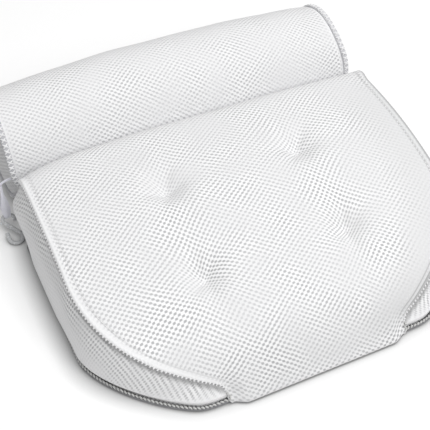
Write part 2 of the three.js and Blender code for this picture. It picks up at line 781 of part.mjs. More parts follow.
ribbon.rotateZ(Math.PI / 2);
ribbon.translate(ribbonOut, loopY, 0);
place('hang_ribbon', ribbon, satin);

function arcPoints(x, y, radius, from, to, count) {
  return Array.from({ length: count + 1 }, (unused, k) => {
    const turn = from + (to - from) * k / count;
    return [x + radius * Math.cos(turn), y + radius * Math.sin(turn)];
  });
}

const curl = arcPoints(loopX, loopY - hookTurn, hookTurn, -0.3, Math.PI, 6);
const bowl = arcPoints(loopX, loopY - hookReach, hookTurn, 0.5, -Math.PI, 7);
const hookPlan = [...curl, ...bowl, [loopX - hookTurn, loopY - hookReach + hookTip]];
const hookFall = (hookHigh - hookLow) / (hookReach + hookTurn);
const hookPath = new THREE.CatmullRomCurve3(hookPlan.map(([x, y]) => {
  return new THREE.Vector3(x, y, hookHigh - hookFall * (loopY - y));
}));
const wireShape = new THREE.Shape();
wireShape.absarc(0, 0, hookWire, 0, 2 * Math.PI, false);
const hook = new THREE.ExtrudeGeometry(wireShape, { steps: 36, extrudePath: hookPath, curveSegments: 4 });
place('hang_hook', hook, clearPlastic);

// The whole pillow moves across so that the origin is in the middle of its width, hook included
const rightmost = baseHalfWidth + bindingRadius;
const leftmost = loopX - hookTurn - hookWire;
const toMiddle = -(rightmost + leftmost) / 2;
group.children.forEach((mesh) => mesh.geometry.translate(toMiddle, 0, 0));

export default group;
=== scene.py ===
# Bath pillow: cloth, seams, fittings, light and camera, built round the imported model.
# Lengths are in millimetres until a mesh is made, and X, Y and Z are those of the part's source.
import math

import bpy
import numpy as np
from mathutils import Matrix, Vector


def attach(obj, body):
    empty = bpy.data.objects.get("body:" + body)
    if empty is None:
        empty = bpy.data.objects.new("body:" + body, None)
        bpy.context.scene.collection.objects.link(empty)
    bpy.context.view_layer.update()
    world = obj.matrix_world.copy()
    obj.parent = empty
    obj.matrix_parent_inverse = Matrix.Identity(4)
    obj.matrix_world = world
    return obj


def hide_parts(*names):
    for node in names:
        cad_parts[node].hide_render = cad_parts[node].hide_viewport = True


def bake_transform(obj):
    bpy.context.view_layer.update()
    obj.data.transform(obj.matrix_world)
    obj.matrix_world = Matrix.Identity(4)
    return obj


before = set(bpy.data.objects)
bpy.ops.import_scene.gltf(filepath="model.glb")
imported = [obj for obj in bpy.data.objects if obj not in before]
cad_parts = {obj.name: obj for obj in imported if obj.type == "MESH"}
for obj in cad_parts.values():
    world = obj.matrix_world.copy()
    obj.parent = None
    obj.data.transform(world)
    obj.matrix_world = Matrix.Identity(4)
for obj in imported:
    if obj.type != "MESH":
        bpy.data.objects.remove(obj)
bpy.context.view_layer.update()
scene = bpy.context.scene
MM = 0.001
TURN = 2 * math.pi
SIDES = ((-1, "left"), (1, "right"))
TO_MIDDLE = 5.95  # the pillow stands this far across, so that the hook counts in its width

# Pad outline and heights, as in the part's source
CLOTH = 2.4
BASE_HALF = 182.6
BASE_FRONT = -190.1
BASE_BACK = 56.0
BASE_SIDE_END = -95.0
REAR_RADIUS = 12.0
REAR_TURN = math.pi / 3
REAR_ARC_SHARE = 0.12
FRONT_HALF = 85.0
CORNER_PULL = 0.36
SEAM_HALF = 175.2
SEAM_FRONT = -184.0
SEAM_SIDE_END = -66.0
SEAM_TIP_PULL = (88.0, -170.0)
SEAM_SIDE_PULL = (176.7, -150.0)
SEAM_REAR = 77.0
SEAM_REAR_START = 54.0
SEAM_REAR_DRAW = 8.2
COVER_FRONT = -188.9
CREST_HEIGHT = 90.0
CREST_Y = 30.0
FRONT_RISE = 0.75
SEAM_DROP = 7.0
SEAM_DROP_FULL = -150.0
PANEL_UNDER = 1.8
BINDING_HEIGHT = 3.2
LIP_RADIUS = 2.0

# Softer shape of the pad
TIP_DRAW = 5.5  # the front tips lie this far back
TIP_INNER = 16.0  # cloth drawn back with them: inward from each tip,
TIP_PEAK = 2.0  # most of all just inside it,
TIP_OUTER = 32.0  # outward from it
TIP_DEEP = 24.0  # and back from the front edge
REAR_DROOP = {-1: 14.0, 1: -2.0}  # sag of the rear corners, left and right
REAR_FULLNESS = {-1: 0.0, 1: 8.0}  # and how far they stand out
REAR_LEAD = 12.0  # both begin this far before the seam turns in
DROOP_PAST = 4.0  # the sag is full this far behind the seam's end
REAR_TUCK = {-1: 3.0, 1: 0.0}  # foot drawn in at the rear corners, on the side of the hook
REAR_TUCK_RISE = (6.0, 26.0)  # less and less between these heights
FALL_POWER = 3  # how late the cover falls off towards its sides
DROOP_POWER = 9
LIP_TIP_SHARE = 0.4  # radius of the lip at its front tip
LIP_TIP_RUN = 36.0

# Tufts
TUFTS = [(-65.0, -13.0), (65.0, -13.0), (-69.0, -101.0), (69.0, -101.0)]
TUFT_NAMES = ["rear_left", "rear_right", "front_left", "front_right"]
TUFT_DEPTH = 11.0
TUFT_SPREAD = 15.0
TUFT_CORE_DEPTH = 2.4
TUFT_CORE = 5.5

# Crease and neck roll
CREASE_Y = 79.4
CREASE_HEIGHT = 66.0
FOLD_CORD_RADIUS = 1.9
FOLD_END = 169.0
ROLL_RADIUS = 56.0
ROLL_TAPER = 5.5
ROLL_HALF_LENGTH = 181.5
ROLL_CLEAR = 2.2
ROLL_TILT = math.asin((CREASE_HEIGHT - ROLL_RADIUS - 2.8) / (ROLL_RADIUS + ROLL_CLEAR))
ROLL_COVER_END = 176.8
ROLL_PIPING_X = 179.1
ROLL_END_DRAW = {-1: 1.8, 1: 0.0}  # each end drawn in all round, left and right
ROLL_TOP_DRAW = {-1: 0.0, 1: 6.5}  # more at its top
ROLL_FOLD_DRAW = {-1: 8.0, 1: 5.0}  # and where the fold ends
ROLL_FOLD_TURN = {-1: math.radians(205), 1: math.radians(192)}
ROLL_FOLD_SPREAD = {-1: 0.28, 1: 0.55}
ROLL_BEND = (CREASE_Y - 0.5, CREASE_Y + 7.0)  # span along Y at the fold

# Suction cups
CUP_RADIUS = 22.0
RECESS_RIM = 32.0
RECESS_TOP = 10.5
RECESS_UNDER = 11.5
PAD_CUPS = {
    "pad_rear_left": (-125.0, 18.3),
    "pad_rear_right": (125.0, 18.3),
    "pad_front_left": (-112.0, -118.0),
    "pad_front_right": (112.0, -118.0),
}
ROLL_CUP_Y = 135.148
ROLL_CUPS = {"roll_left": (-110.0, ROLL_CUP_Y), "roll_right": (110.0, ROLL_CUP_Y)}

# Hanging loop and hook
LOOP_X = -189.5
LOOP_Y = 88.8
RIBBON_ROOT = 46.46
HOOK_WIRE = 1.4
HOOK_HIGH = 9.0
HOOK_LOW = 1.7
HOOK_TURN = 6.0
HOOK_BOWL = 6.4
HOOK_REACH = 26.0
HOOK_TIP = 6.5

# Camera, from the photograph's vanishing lines
VIEW_AZIMUTH = math.radians(-25.48)
VIEW_ELEVATION = math.radians(45.78)
VIEW_ROLL = math.radians(0.44)
VIEW_DISTANCE = 869.0
VIEW_AIM = (-17.2, -13.7, 30.0)
VIEW_LENS = 78.3


def ramp(low, high, value):
    """0 up to low, 1 from high on, and a smooth rise between them."""
    share = np.clip((value - low) / (high - low), 0, 1)
    return share * share * (3 - 2 * share)


def fade(low, high, value):
    return 1 - ramp(low, high, value)


def bell(away, width):
    return np.exp(-((away / width) ** 2))


def between(first, last, share):
    return first + (last - first) * share


def side_of(x):
    return 1 if x > 0 else -1


def points(*parts):
    """Rows of coordinates, from arrays or single numbers."""
    return np.stack(np.broadcast_arrays(*parts), axis=1)


def turns_round(count):
    return np.linspace(0, TURN, count, endpoint=False)


def oval(wide, high, sides):
    return [(wide * math.cos(turn), high * math.sin(turn)) for turn in turns_round(sides)]


def bezier(start, start_pull, end_pull, end, t):
    s = 1 - t
    parts = zip(start, start_pull, end_pull, end)
    return [s**3 * a + 3 * s * s * t * b + 3 * s * t * t * c + t**3 * d for a, b, c, d in parts]


# Outlines of the pad from above: corner tip at 0, end of the corner at 1, back at 2
def seam_plan(step):
    if step <= 1:
        tip = (FRONT_HALF, SEAM_FRONT)
        return bezier(tip, SEAM_TIP_PULL, SEAM_SIDE_PULL, (SEAM_HALF, SEAM_SIDE_END), step)
    y = between(SEAM_SIDE_END, SEAM_REAR, step - 1)
    draw = max(0, (y - SEAM_REAR_START) / (SEAM_REAR - SEAM_REAR_START))
    return [SEAM_HALF - SEAM_REAR_DRAW * draw**2, y]


def base_plan(step):
    if step <= 1:
        tip_pull = (between(FRONT_HALF, BASE_HALF, CORNER_PULL), BASE_FRONT)
        side_pull = (BASE_HALF, between(BASE_SIDE_END, BASE_FRONT, CORNER_PULL))
        return bezier((FRONT_HALF, BASE_FRONT), tip_pull, side_pull, (BASE_HALF, BASE_SIDE_END), step)
    straight = (step - 1) / (1 - REAR_ARC_SHARE)
    arc_start = BASE_BACK - REAR_RADIUS
    if straight <= 1:
        return [BASE_HALF, between(BASE_SIDE_END, arc_start, straight)]
    turn = REAR_TURN * (step - 2 + REAR_ARC_SHARE) / REAR_ARC_SHARE
    inner = BASE_HALF - REAR_RADIUS
    return [inner + REAR_RADIUS * math.cos(turn), arc_start + REAR_RADIUS * math.sin(turn)]


def plan_steps(corner, side, start=0.0, end=2.0):
    """Steps along an outline, with so many points round the corner and along the side."""
    return np.concatenate([np.linspace(start, 1, corner), np.linspace(1, end, side)[1:]])


def outward(plan, step):
    """Unit direction out of an outline."""
    x0, y0 = plan(max(0, step - 0.01))
    x1, y1 = plan(min(2, step + 0.01))
    length = math.hypot(x1 - x0, y1 - y0)
    return (y1 - y0) / length, (x0 - x1) / length


def shifted(plan, step, distance):
    x, y = plan(step)
    out_x, out_y = outward(plan, step)
    return [x + distance * out_x, y + distance * out_y]


def step_at_y(plan, y):
    low, high = 0.0, 2.0
    for _ in range(30):
        middle = (low + high) / 2
        if plan(middle)[1] < y:
            low = middle
        else:
            high = middle
    return (low + high) / 2


# Heights of the pad
def crown_height(y):
    if y > CREST_Y:
        back = (y - CREST_Y) / (CREASE_Y - CREST_Y)
        return between(CREST_HEIGHT, CREASE_HEIGHT, back**4)
    run = max(0, (y - BASE_FRONT) / (CREST_Y - BASE_FRONT))
    return between(BINDING_HEIGHT, CREST_HEIGHT, (1 - (1 - run) ** 2) ** FRONT_RISE)


def seam_height(y):
    front = min(1, max(0, (y - COVER_FRONT) / (SEAM_DROP_FULL - COVER_FRONT)))
    return crown_height(y) - SEAM_DROP * front


def rear_droop(y, side):
    """How far a rear corner sags where its seam runs into the fold."""
    return REAR_DROOP[side] * ramp(SEAM_REAR_START - REAR_LEAD, SEAM_REAR + DROOP_PAST, y)


def rear_fullness(y, side):
    return REAR_FULLNESS[side] * ramp(SEAM_REAR_START - REAR_LEAD, SEAM_REAR, y)


def rear_tuck(height, side):
    """How far a rear corner is drawn in at a height above its foot."""
    return REAR_TUCK[side] * fade(*REAR_TUCK_RISE, height)


def seam_point(step, side):
    """Axis of the lip, with x counted outward."""
    x, y = seam_plan(step)
    return [x + rear_fullness(y, side), y, seam_height(y) - rear_droop(y, side)]


def crease_height(x):
    share = min(1, abs(x) / seam_plan(2)[0])
    fall = (SEAM_DROP - LIP_RADIUS) * share**FALL_POWER
    return CREASE_HEIGHT - fall - REAR_DROOP[side_of(x)] * share**DROOP_POWER


def lip_radius(y):
    """The lip thins out towards its front tip."""
    return LIP_RADIUS * between(LIP_TIP_SHARE, 1, ramp(BASE_FRONT, BASE_FRONT + LIP_TIP_RUN, y))


def tips_drawn_in(places):
    """Both front tips pulled back, where the seams of the side panels run out."""
    across = np.abs(places[:, 0])
    peak = FRONT_HALF - TIP_PEAK
    near = ramp(FRONT_HALF - TIP_INNER, peak, across) * fade(peak, FRONT_HALF + TIP_OUTER, across)
    pull = TIP_DRAW * near * fade(BASE_FRONT, BASE_FRONT + TIP_DEEP, places[:, 1])
    return places + pull[:, None] * (0, 1, 0)


# Meshes
def finish_mesh(name, verts, faces, uvs, material, attributes=None, sharp=60):
    """A piece from points in millimetres, faces, and a UV in metres for each corner of each face."""
    mesh = bpy.data.meshes.new(name)
    places = tips_drawn_in(np.asarray(verts, float))
    mesh.from_pydata(((places + (TO_MIDDLE, 0, 0)) * MM).tolist(), [], faces)
    layer = mesh.uv_layers.new(name="cloth")
    layer.data.foreach_set("uv", (np.asarray(uvs, float) * MM).ravel())
    for key, values in (attributes or {}).items():
        attribute = mesh.attributes.new(key, "FLOAT", "POINT")
        attribute.data.foreach_set("value", np.asarray(values, np.float32).ravel())
    mesh.materials.append(material)
    mesh.shade_smooth()
    mesh.set_sharp_from_angle(angle=math.radians(sharp))
    mesh.validate()
    piece = bpy.data.objects.new(name, mesh)
    scene.collection.objects.link(piece)
    return piece


def grid_normals(grid, wraps):
    along = np.gradient(grid, axis=0)
    if wraps:
        across = (np.roll(grid, -1, axis=1) - np.roll(grid, 1, axis=1)) / 2
    else:
        across = np.gradient(grid, axis=1)
    normals = np.cross(across, along)
    return normals / np.maximum(np.linalg.norm(normals, axis=2, keepdims=True), 1e-9)


def cloth_panel(name, lines, material, thick=CLOTH, wraps=False):
    """A closed panel of cloth under lines across its outer face.

    Each line has its points, their UVs, and from 0 to 1 how plain the mesh is and how much painted shade
    darkens it at each.
    """
    grid, uv, plain, shade = (np.array(part) for part in zip(*lines))
    rows, columns = grid.shape[:2]
    inner = grid - thick * grid_normals(grid, wraps)
    verts = np.concatenate([grid.reshape(-1, 3), inner.reshape(-1, 3)])
    spans = columns if wraps else columns - 1
    faces, uvs = [], []
    below = rows * columns

    def add(corners, layers):
        faces.append([layers[k] + i * columns + j % columns for k, (i, j) in enumerate(corners)])
        uvs.extend(uv[i, j] for i, j in corners)

    for i in range(rows - 1):
        for j in range(spans):
            add([(i, j), (i, j + 1), (i + 1, j + 1), (i + 1, j)], (0, 0, 0, 0))
            add([(i, j), (i + 1, j), (i + 1, j + 1), (i, j + 1)], (below,) * 4)
    last = rows - 1
    for j in range(spans):
        add([(0, j), (0, j), (0, j + 1), (0, j + 1)], (0, below, below, 0))
        add([(last, j), (last, j + 1), (last, j + 1), (last, j)], (0, 0, below, below))
    if not wraps:
        last = columns - 1
        for i in range(rows - 1):
            add([(i, 0), (i + 1, 0), (i + 1, 0), (i, 0)], (0, 0, below, below))
            add([(i, last), (i, last), (i + 1, last), (i + 1, last)], (0, below, below, 0))
    marks = {"plain": np.tile(plain.ravel(), 2), "shade": np.tile(shade.ravel(), 2)}
    return finish_mesh(name, verts, faces, uvs, material, marks)


def lengths_along(path):
    steps = np.linalg.norm(np.diff(path, axis=0), axis=1)
    return np.concatenate([[0], np.cumsum(steps)])


def resampled(path, pitch, closed=False):
    """Points at an even pitch along a path."""
    path = np.asarray(path, float)
    if closed:
        path = np.concatenate([path, path[:1]])
    along = lengths_along(path)
    count = max(2, int(round(along[-1] / pitch)))
    places = np.linspace(0, along[-1], count + 1)
    if closed:
        places = places[:-1]
    return points(*(np.interp(places, along, path[:, k]) for k in range(3)))


def path_frames(path, toward, closed=False):
    """Directions along, aside and up at each point. Up is near toward, one direction or a function."""
    if closed:
        along = np.roll(path, -1, axis=0) - np.roll(path, 1, axis=0)
    else:
        along = np.gradient(path, axis=0)
    along /= np.linalg.norm(along, axis=1, keepdims=True)
    aim = toward(path) if callable(toward) else np.asarray(toward, float)
    side = np.cross(aim, along)
    side /= np.linalg.norm(side, axis=1, keepdims=True)
    return along, side, np.cross(along, side)


def tube_faces(rings, count, closed=False):
    """Faces round a tube, each corner as (ring, place in it). Both ends are covered unless it is closed."""
    faces = []
    for i in range(rings if closed else rings - 1):
        faces.extend([(i, j), (i, j + 1), (i + 1, j + 1), (i + 1, j)] for j in range(count))
    if not closed:
        faces.append([(0, j) for j in range(count)][::-1])
        faces.append([(rings - 1, j) for j in range(count)])
    return faces


def swept(name, path, profile, material, toward=(0, 0, 1), closed=False):
    """A section of points (side, up) swept along a path, or a function that gives it at each arc length."""
    path = np.asarray(path, float)
    _, sides, ups = path_frames(path, toward, closed)
    arcs = lengths_along(np.concatenate([path, path[:1]]) if closed else path)
    verts = []
    for point, side, up, arc in zip(path, sides, ups, arcs):
        section = profile(arc) if callable(profile) else profile
        verts.extend(point + a * side + b * up for a, b in section)
    rings = len(path)
    count = len(verts) // rings
    corners = tube_faces(rings, count, closed)
    faces = [[i % rings * count + j % count for i, j in face] for face in corners]
    uvs = [(arcs[i], j) for face in corners for i, j in face]
    return finish_mesh(name, verts, faces, uvs, material)


STITCH_SIDES = 6
# Rings of one stitch: place along it, share of its radius, and rise in radii
STITCH_RINGS = [(-0.5, 0.35, -0.5), (-0.3, 0.9, 0.0), (0.0, 1.0, 0.2), (0.3, 0.9, 0.0), (0.5, 0.35, -0.5)]


def stitches(name, path, material, size, toward=(0, 0, 1), slant=0.0, closed=False):
    """A row of plump short threads that dip at both ends. size is their pitch, length and radius."""
    pitch, length, radius = size
    path = resampled(path, pitch, closed)
    corners = tube_faces(len(STITCH_RINGS), STITCH_SIDES)
    verts, faces = [], []
    for point, along, side, up in zip(path, *path_frames(path, toward, closed)):
        lean = along * math.cos(slant) + side * math.sin(slant)
        across = np.cross(up, lean)
        start = len(verts)
        for share, wide, rise in STITCH_RINGS:
            centre = point + up * rise * radius + lean * share * length
            section = oval(wide * radius, wide * radius, STITCH_SIDES)
            verts.extend(centre + across * a + up * b for a, b in section)
        faces.extend([start + i * STITCH_SIDES + j % STITCH_SIDES for i, j in face] for face in corners)
    uvs = [corner for face in corners for corner in face] * len(path)
    return finish_mesh(name, verts, faces, uvs, material)


def turned(name, profile, material, centre, steps=64):
    """A body turned about an upright axis, from radii and heights, closed at the axis or into a ring."""
    ring = profile[0] == profile[-1]
    rows = profile[:-1] if ring else profile
    verts, starts = [], []
    for radius, height in rows:
        starts.append(len(verts))
        circle = oval(radius, radius, 1 if radius == 0 else steps)
        verts.extend((centre[0] + x, centre[1] + y, height) for x, y in circle)
    faces, uvs = [], []
    for i in range(len(rows) if ring else len(rows) - 1):
        n = (i + 1) % len(rows)
        for k in range(steps):
            m = (k + 1) % steps
            corners = [(i, k), (i, m), (n, m), (n, k)]
            if rows[i][0] == 0:
                corners = [(i, 0), (n, m), (n, k)]
            elif rows[n][0] == 0:
                corners = [(i, k), (i, m), (n, 0)]
            faces.append([starts[row] + place for row, place in corners])
            uvs.extend((place, rows[row][1]) for row, place in corners)
    return finish_mesh(name, verts, faces, uvs, material, sharp=35)


# Material nodes
def grey(level, blue=0.0):
    return level, level, level + blue, 1


def new_material(name):
    material = bpy.data.materials.new(name)
    material.use_nodes = True
    tree = material.node_tree
    return material, tree, tree.nodes["Principled BSDF"]


def feed(tree, node, sources):
    """Gives each input of a node its value, or the socket that feeds it."""
    for key, value in sources.items():
        if isinstance(value, bpy.types.NodeSocket):
            tree.links.new(value, node.inputs[key])
        else:
            node.inputs[key].default_value = value


def add_node(tree, kind, sources=None, **settings):
    made = tree.nodes.new("ShaderNode" + kind)
    for key, value in settings.items():
        setattr(made, key, value)
    feed(tree, made, sources or {})
    return made


def vector_math(tree, operation, first, second):
    return add_node(tree, "VectorMath", {0: first, 1: second}, operation=operation).outputs[0]


def maths(tree, operation, first, second=0.0, third=0.0, clamp=False):
    numbers = {0: first, 1: second, 2: third}
    return add_node(tree, "Math", numbers, operation=operation, use_clamp=clamp).outputs[0]


def mixed(tree, share, first, second):
    return add_node(tree, "Mix", {0: share, 6: first, 7: second}, data_type="RGBA").outputs[2]


def mapped(tree, value, low, high, to_low=0.0, to_high=1.0, smooth=False):
    """A value between low and high, spread over another span."""
    spans = {"Value": value, "From Min": low, "From Max": high, "To Min": to_low, "To Max": to_high}
    kind = "SMOOTHSTEP" if smooth else "LINEAR"
    return add_node(tree, "MapRange", spans, interpolation_type=kind).outputs[0]


def noise(tree, place, scale, detail):
    return add_node(tree, "TexNoise", {"Vector": place, "Scale": scale, "Detail": detail}).outputs["Fac"]


def cloth_place(tree):
    return add_node(tree, "UVMap", uv_map="cloth").outputs[0]


def object_place(tree):
    return add_node(tree, "TexCoord").outputs["Object"]


def mark(tree, name):
    return add_node(tree, "Attribute", attribute_name=name).outputs["Fac"]


def relief(tree, height, distance, strength):
    heights = {"Height": height, "Distance": distance, "Strength": strength}
    return add_node(tree, "Bump", heights).outputs["Normal"]


# Spacer mesh: holes on a centred lattice
CELL_ACROSS = 5.9
CELL_ALONG = 4.6
CELL_DRIFT = 1.0  # how unevenly the holes lie
STRAND_LEAN = (0.72, 1.18)  # how much the strands of one family pull more than the other's
HOLE_EDGES = (-0.45, 1.35)  # where a hole begins between the strands, and where it is deepest
HOLE_STRETCH = (0.35, 1.0)  # how open the holes are, from patch to patch
HOLE_DARKNESS = 0.9
HOLE_SHARE = 0.42
PLAIN_LIGHTER = 0.65  # how much of that grey is gone where the mesh is drawn tight
SHADE_DEPTH = 0.85
YARN_RELIEF = 0.2


def spacer_mesh():
    """White warp-knit mesh: two families of slanting strands with open holes between them."""
    material, tree, shader = new_material("spacer_mesh")
    uv = cloth_place(tree)
    wobble = add_node(tree, "TexNoise", {"Vector": uv, "Scale": 160.0, "Detail": 1.0})
    drift = vector_math(tree, "SUBTRACT", wobble.outputs["Color"], (0.5, 0.5, 0.5))
    drift = vector_math(tree, "MULTIPLY", drift, (CELL_DRIFT * MM, CELL_DRIFT * MM, 0))
    place = vector_math(tree, "ADD", uv, drift)
    per_cell = (TURN / (CELL_ACROSS * MM), TURN / (CELL_ALONG * MM), 0)
    turns = add_node(tree, "SeparateXYZ", {0: vector_math(tree, "MULTIPLY", place, per_cell)})
    across, along = turns.outputs[0], turns.outputs[1]
    falling = maths(tree, "COSINE", maths(tree, "ADD", across, along))
    rising = maths(tree, "COSINE", maths(tree, "SUBTRACT", across, along))
    lean = mapped(tree, noise(tree, uv, 34.0, 0.0), 0.3, 0.7, *STRAND_LEAN)
    net = maths(tree, "MULTIPLY", rising, maths(tree, "SUBTRACT", 2.0, lean))
    net = maths(tree, "MULTIPLY_ADD", falling, lean, net)
    opening = mapped(tree, net, *HOLE_EDGES, smooth=True)
    # where the mesh is drawn tight its holes close, and it looks as grey as on average
    plain = mark(tree, "plain")
    stretch = mapped(tree, noise(tree, uv, 22.0, 1.5), 0.35, 0.65, *HOLE_STRETCH)
    open_share = maths(tree, "MULTIPLY", maths(tree, "SUBTRACT", 1.0, plain, clamp=True), stretch)
    fill = maths(tree, "MULTIPLY_ADD", plain, -PLAIN_LIGHTER * HOLE_SHARE, HOLE_SHARE)
    hole = add_node(tree, "Mix", {0: open_share, 2: fill, 3: opening}).outputs[0]
    yarn = noise(tree, uv, 620.0, 2.0)
    fibre = mixed(tree, yarn, grey(0.82, 0.01), grey(1.0))
    strand = mixed(tree, maths(tree, "MULTIPLY", hole, HOLE_DARKNESS), fibre, grey(0.40, 0.01))
    # painted shade: the shade attribute darkens the mesh towards near black
    dark = maths(tree, "MULTIPLY", mark(tree, "shade"), SHADE_DEPTH)
    height = maths(tree, "MULTIPLY", yarn, YARN_RELIEF)
    height = maths(tree, "SUBTRACT", height, hole)
    feed(tree, shader, {
        "Base Color": mixed(tree, dark, strand, grey(0.06)),
        "Normal": relief(tree, height, 0.6 * MM, 0.6),
        "Roughness": 0.92,
        "Specular IOR Level": 0.2,
        "Sheen Weight": 0.1,
        "Sheen Roughness": 0.6,
    })
    return material


def seam_edging(name, low, high):
    material, tree, shader = new_material(name)
    place = object_place(tree)
    ribs = {"Vector": cloth_place(tree), "Scale": 330.0, "Distortion": 1.5, "Detail": 1.0}
    rib = add_node(tree, "TexWave", ribs, bands_direction="X").outputs["Fac"]
    height = maths(tree, "MULTIPLY_ADD", rib, 0.5, noise(tree, place, 1400.0, 2.0))
    feed(tree, shader, {
        "Base Color": mixed(tree, noise(tree, place, 240.0, 2.0), low, high),
        "Normal": relief(tree, height, 0.3 * MM, 0.6),
        "Roughness": 0.9,
        "Specular IOR Level": 0.2,
        "Sheen Weight": 0.1,
    })
    return material


def sewing_thread(name, low, high):
    material, tree, shader = new_material(name)
    plies = {"Vector": object_place(tree), "Scale": 700.0, "Distortion": 2.0}
    twist = add_node(tree, "TexWave", plies, bands_direction="DIAGONAL").outputs["Fac"]
    feed(tree, shader, {
        "Base Color": mixed(tree, twist, low, high),
        "Normal": relief(tree, twist, 0.2 * MM, 0.6),
        "Roughness": 0.7,
    })
    return material


def satin_ribbon(low, high):
    material, tree, shader = new_material("satin_ribbon")
    weave = {"Vector": cloth_place(tree), "Scale": 900.0, "Distortion": 0.8, "Detail": 1.0}
    weft = add_node(tree, "TexWave", weave, bands_direction="X").outputs["Fac"]
    feed(tree, shader, {
        "Base Color": mixed(tree, weft, low, high),
        "Normal": relief(tree, weft, 0.1 * MM, 0.4),
        "Roughness": 0.38,
        "Anisotropic": 0.5,
        "Sheen Weight": 0.3,
    })
    return material


def clear_plastic(name, colour, passing, smoothest, roughest, speck):
    material, tree, shader = new_material(name)
    cloud = noise(tree, object_place(tree), speck, 3.0)
    feed(tree, shader, {
        "Base Color": colour,
        "Normal": relief(tree, cloud, 0.2 * MM, 0.15),
        "Roughness": mapped(tree, cloud, 0.0, 1.0, smoothest, roughest),
        "Transmission Weight": passing,
        "IOR": 1.48,
    })
    return material


MESH = spacer_mesh()
EDGING = seam_edging("seam_edging", grey(0.84, 0.02), grey(0.95, 0.01))
TAPE = seam_edging("seam_tape", grey(0.58, 0.03), grey(0.78, 0.03))
# the left tape is darker than the right: painted shade on the left end of the roll
END_TAPE = {
    -1: seam_edging("end_tape_left_painted_shade", grey(0.40, 0.02), grey(0.60, 0.02)),
    1: seam_edging("end_tape_right", grey(0.52, 0.02), grey(0.72, 0.02)),
}
# dark grey binding as painted shade along the floor and in the gaps between the corner stitches
SHADED_BASE_TAPE = seam_edging("base_tape_painted_shade", grey(0.16, 0.01), grey(0.30, 0.01))
THREAD = sewing_thread("sewing_thread", grey(0.8, 0.01), grey(0.93))
# darker thread for the rope round the front corners, as painted shade near the floor
SHADED_EDGE_THREAD = sewing_thread("edge_thread_painted_shade", grey(0.4, -0.01), grey(0.68, -0.01))
SATIN = satin_ribbon(grey(0.80, 0.08), grey(0.88, 0.06))
HOOK_PLASTIC = clear_plastic("clear_plastic", (0.64, 0.65, 0.66, 1), 0.22, 0.18, 0.34, speck=300.0)
VINYL = clear_plastic("clear_vinyl", (0.90, 0.94, 0.96, 1), 0.85, 0.08, 0.2, speck=120.0)


# Where each piece belongs
def take_place(piece, slot, *nodes):
    """Hides the nodes that a piece stands for. The slot is not used."""
    if nodes:
        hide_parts(*nodes)


def settle(piece, body, slot, *nodes):
    """The same for a piece that rides on one body."""
    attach(piece, body)
    take_place(piece, slot, *nodes)


def bend_with_fold(piece, start, end):
    """Bakes the transform of the piece into its mesh. Start and end are not used."""
    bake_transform(piece)


# Pad top cover, which rolls over the lips at both sides
COVER_PITCH = 2.4
COVER_COLUMNS = 141
COVER_BEND = 0.82 * math.pi / 2  # its columns crowd together towards the sides
COVER_NOSE = [(-192.4, 1.3, -7.5), (-192.9, 2.6, -6.1), (-192.3, 4.3, -4.3), (-190.9, 6.2, -2.0)]
NOSE_TOP = COVER_NOSE[-1][1]
NOSE_ROUND = 6.0  # how much shorter its lowest line is at each end
NOSE_FOOT = 2.0  # below this height it carries full painted shade, a dark line along the floor
FRONT_RUN = 16.0  # behind its front edge the cover takes up its waves and seams
COVER_WAVE = 0.35
WAVE_RUN = (0.0, 30.0)  # inside its rims, where the waves begin
ROLL_OVER_TURNS = np.radians([70, 52, 35, 18, 4])
FLOOR_CLEAR = 0.3
STITCH_INSIDE = 5.2  # row of stitches inside the axis of the lip
STITCH_GROOVE = 0.6
GROOVE_WIDTH = 0.9
PLEATS = [(6, 1.3, 1.0), (4, 2.1, 0.6)]  # pleats round a tuft, their turn from tuft to tuft, their share
PLEAT_DEPTH = 0.7
PLEAT_REACH = 9.0
GATHER = 7.0  # cloth that a tuft draws in
GATHER_START = 10.0
GATHER_REACH = 38.0


def cover_edge(y):
    """Half width of the cover to the axis of the lip, and the way out of the seam there."""
    step = step_at_y(seam_plan, y)
    return max(FRONT_HALF, seam_plan(step)[0]), outward(seam_plan, step)


def cover_lay(y, share):
    """Height of the cover before tufts and waves, from the crown over to the lips."""
    crown = crown_height(y)
    fall = crown - seam_height(y) - lip_radius(y)
    droop = rear_droop(y, side_of(share))
    return crown - fall * abs(share) ** FALL_POWER - droop * abs(share) ** DROOP_POWER


def tuft_dip(x, y):
    """How deep the tufts pull the cover in, with soft pleats running out of each."""
    dip = np.zeros_like(x)
    for k, (tx, ty) in enumerate(TUFTS):
        away = np.hypot(x - tx, y - ty)
        turn = np.arctan2(y - ty, x - tx)
        dip += TUFT_DEPTH * bell(away, TUFT_SPREAD) + TUFT_CORE_DEPTH * bell(away, TUFT_CORE)
        pleat = sum(share * np.cos(count * turn + shift * k) for count, shift, share in PLEATS)
        dip += PLEAT_DEPTH * pleat * (away / PLEAT_REACH) * np.exp(1 - away / PLEAT_REACH)
    return dip


def tuft_draw(x, y):
    """How much further out the cloth at a point was before the tufts drew it in."""
    draw = np.zeros((len(x), 2))
    for tx, ty in TUFTS:
        away = np.maximum(np.hypot(x - tx, y - ty), 1e-6)
        extra = GATHER * (1 - np.exp(-away / GATHER_START)) * bell(away, GATHER_REACH)
        draw += points(extra * (x - tx) / away, extra * (y - ty) / away)
    return draw


def unevenness(x, y, size):
    """The slight waves of stuffed cloth."""
    return size * (
        np.sin(x / 31 + 0.6) * np.sin(y / 27 + 1.9)
        + 0.6 * np.sin(x / 17 - y / 23 + 0.4)
        + 0.4 * np.sin(x / 11 + y / 13 + 2.2)
    )


def rolled_over(edge, out, reach, side):
    """Points that carry a line of the cover over the lip, from its last point outward."""
    x, y, z = edge
    away = reach * np.cos(ROLL_OVER_TURNS)
    fallen = np.maximum(z + reach * (np.sin(ROLL_OVER_TURNS) - 1), FLOOR_CLEAR)
    return points(x + side * out[0] * away, y + out[1] * away, fallen)


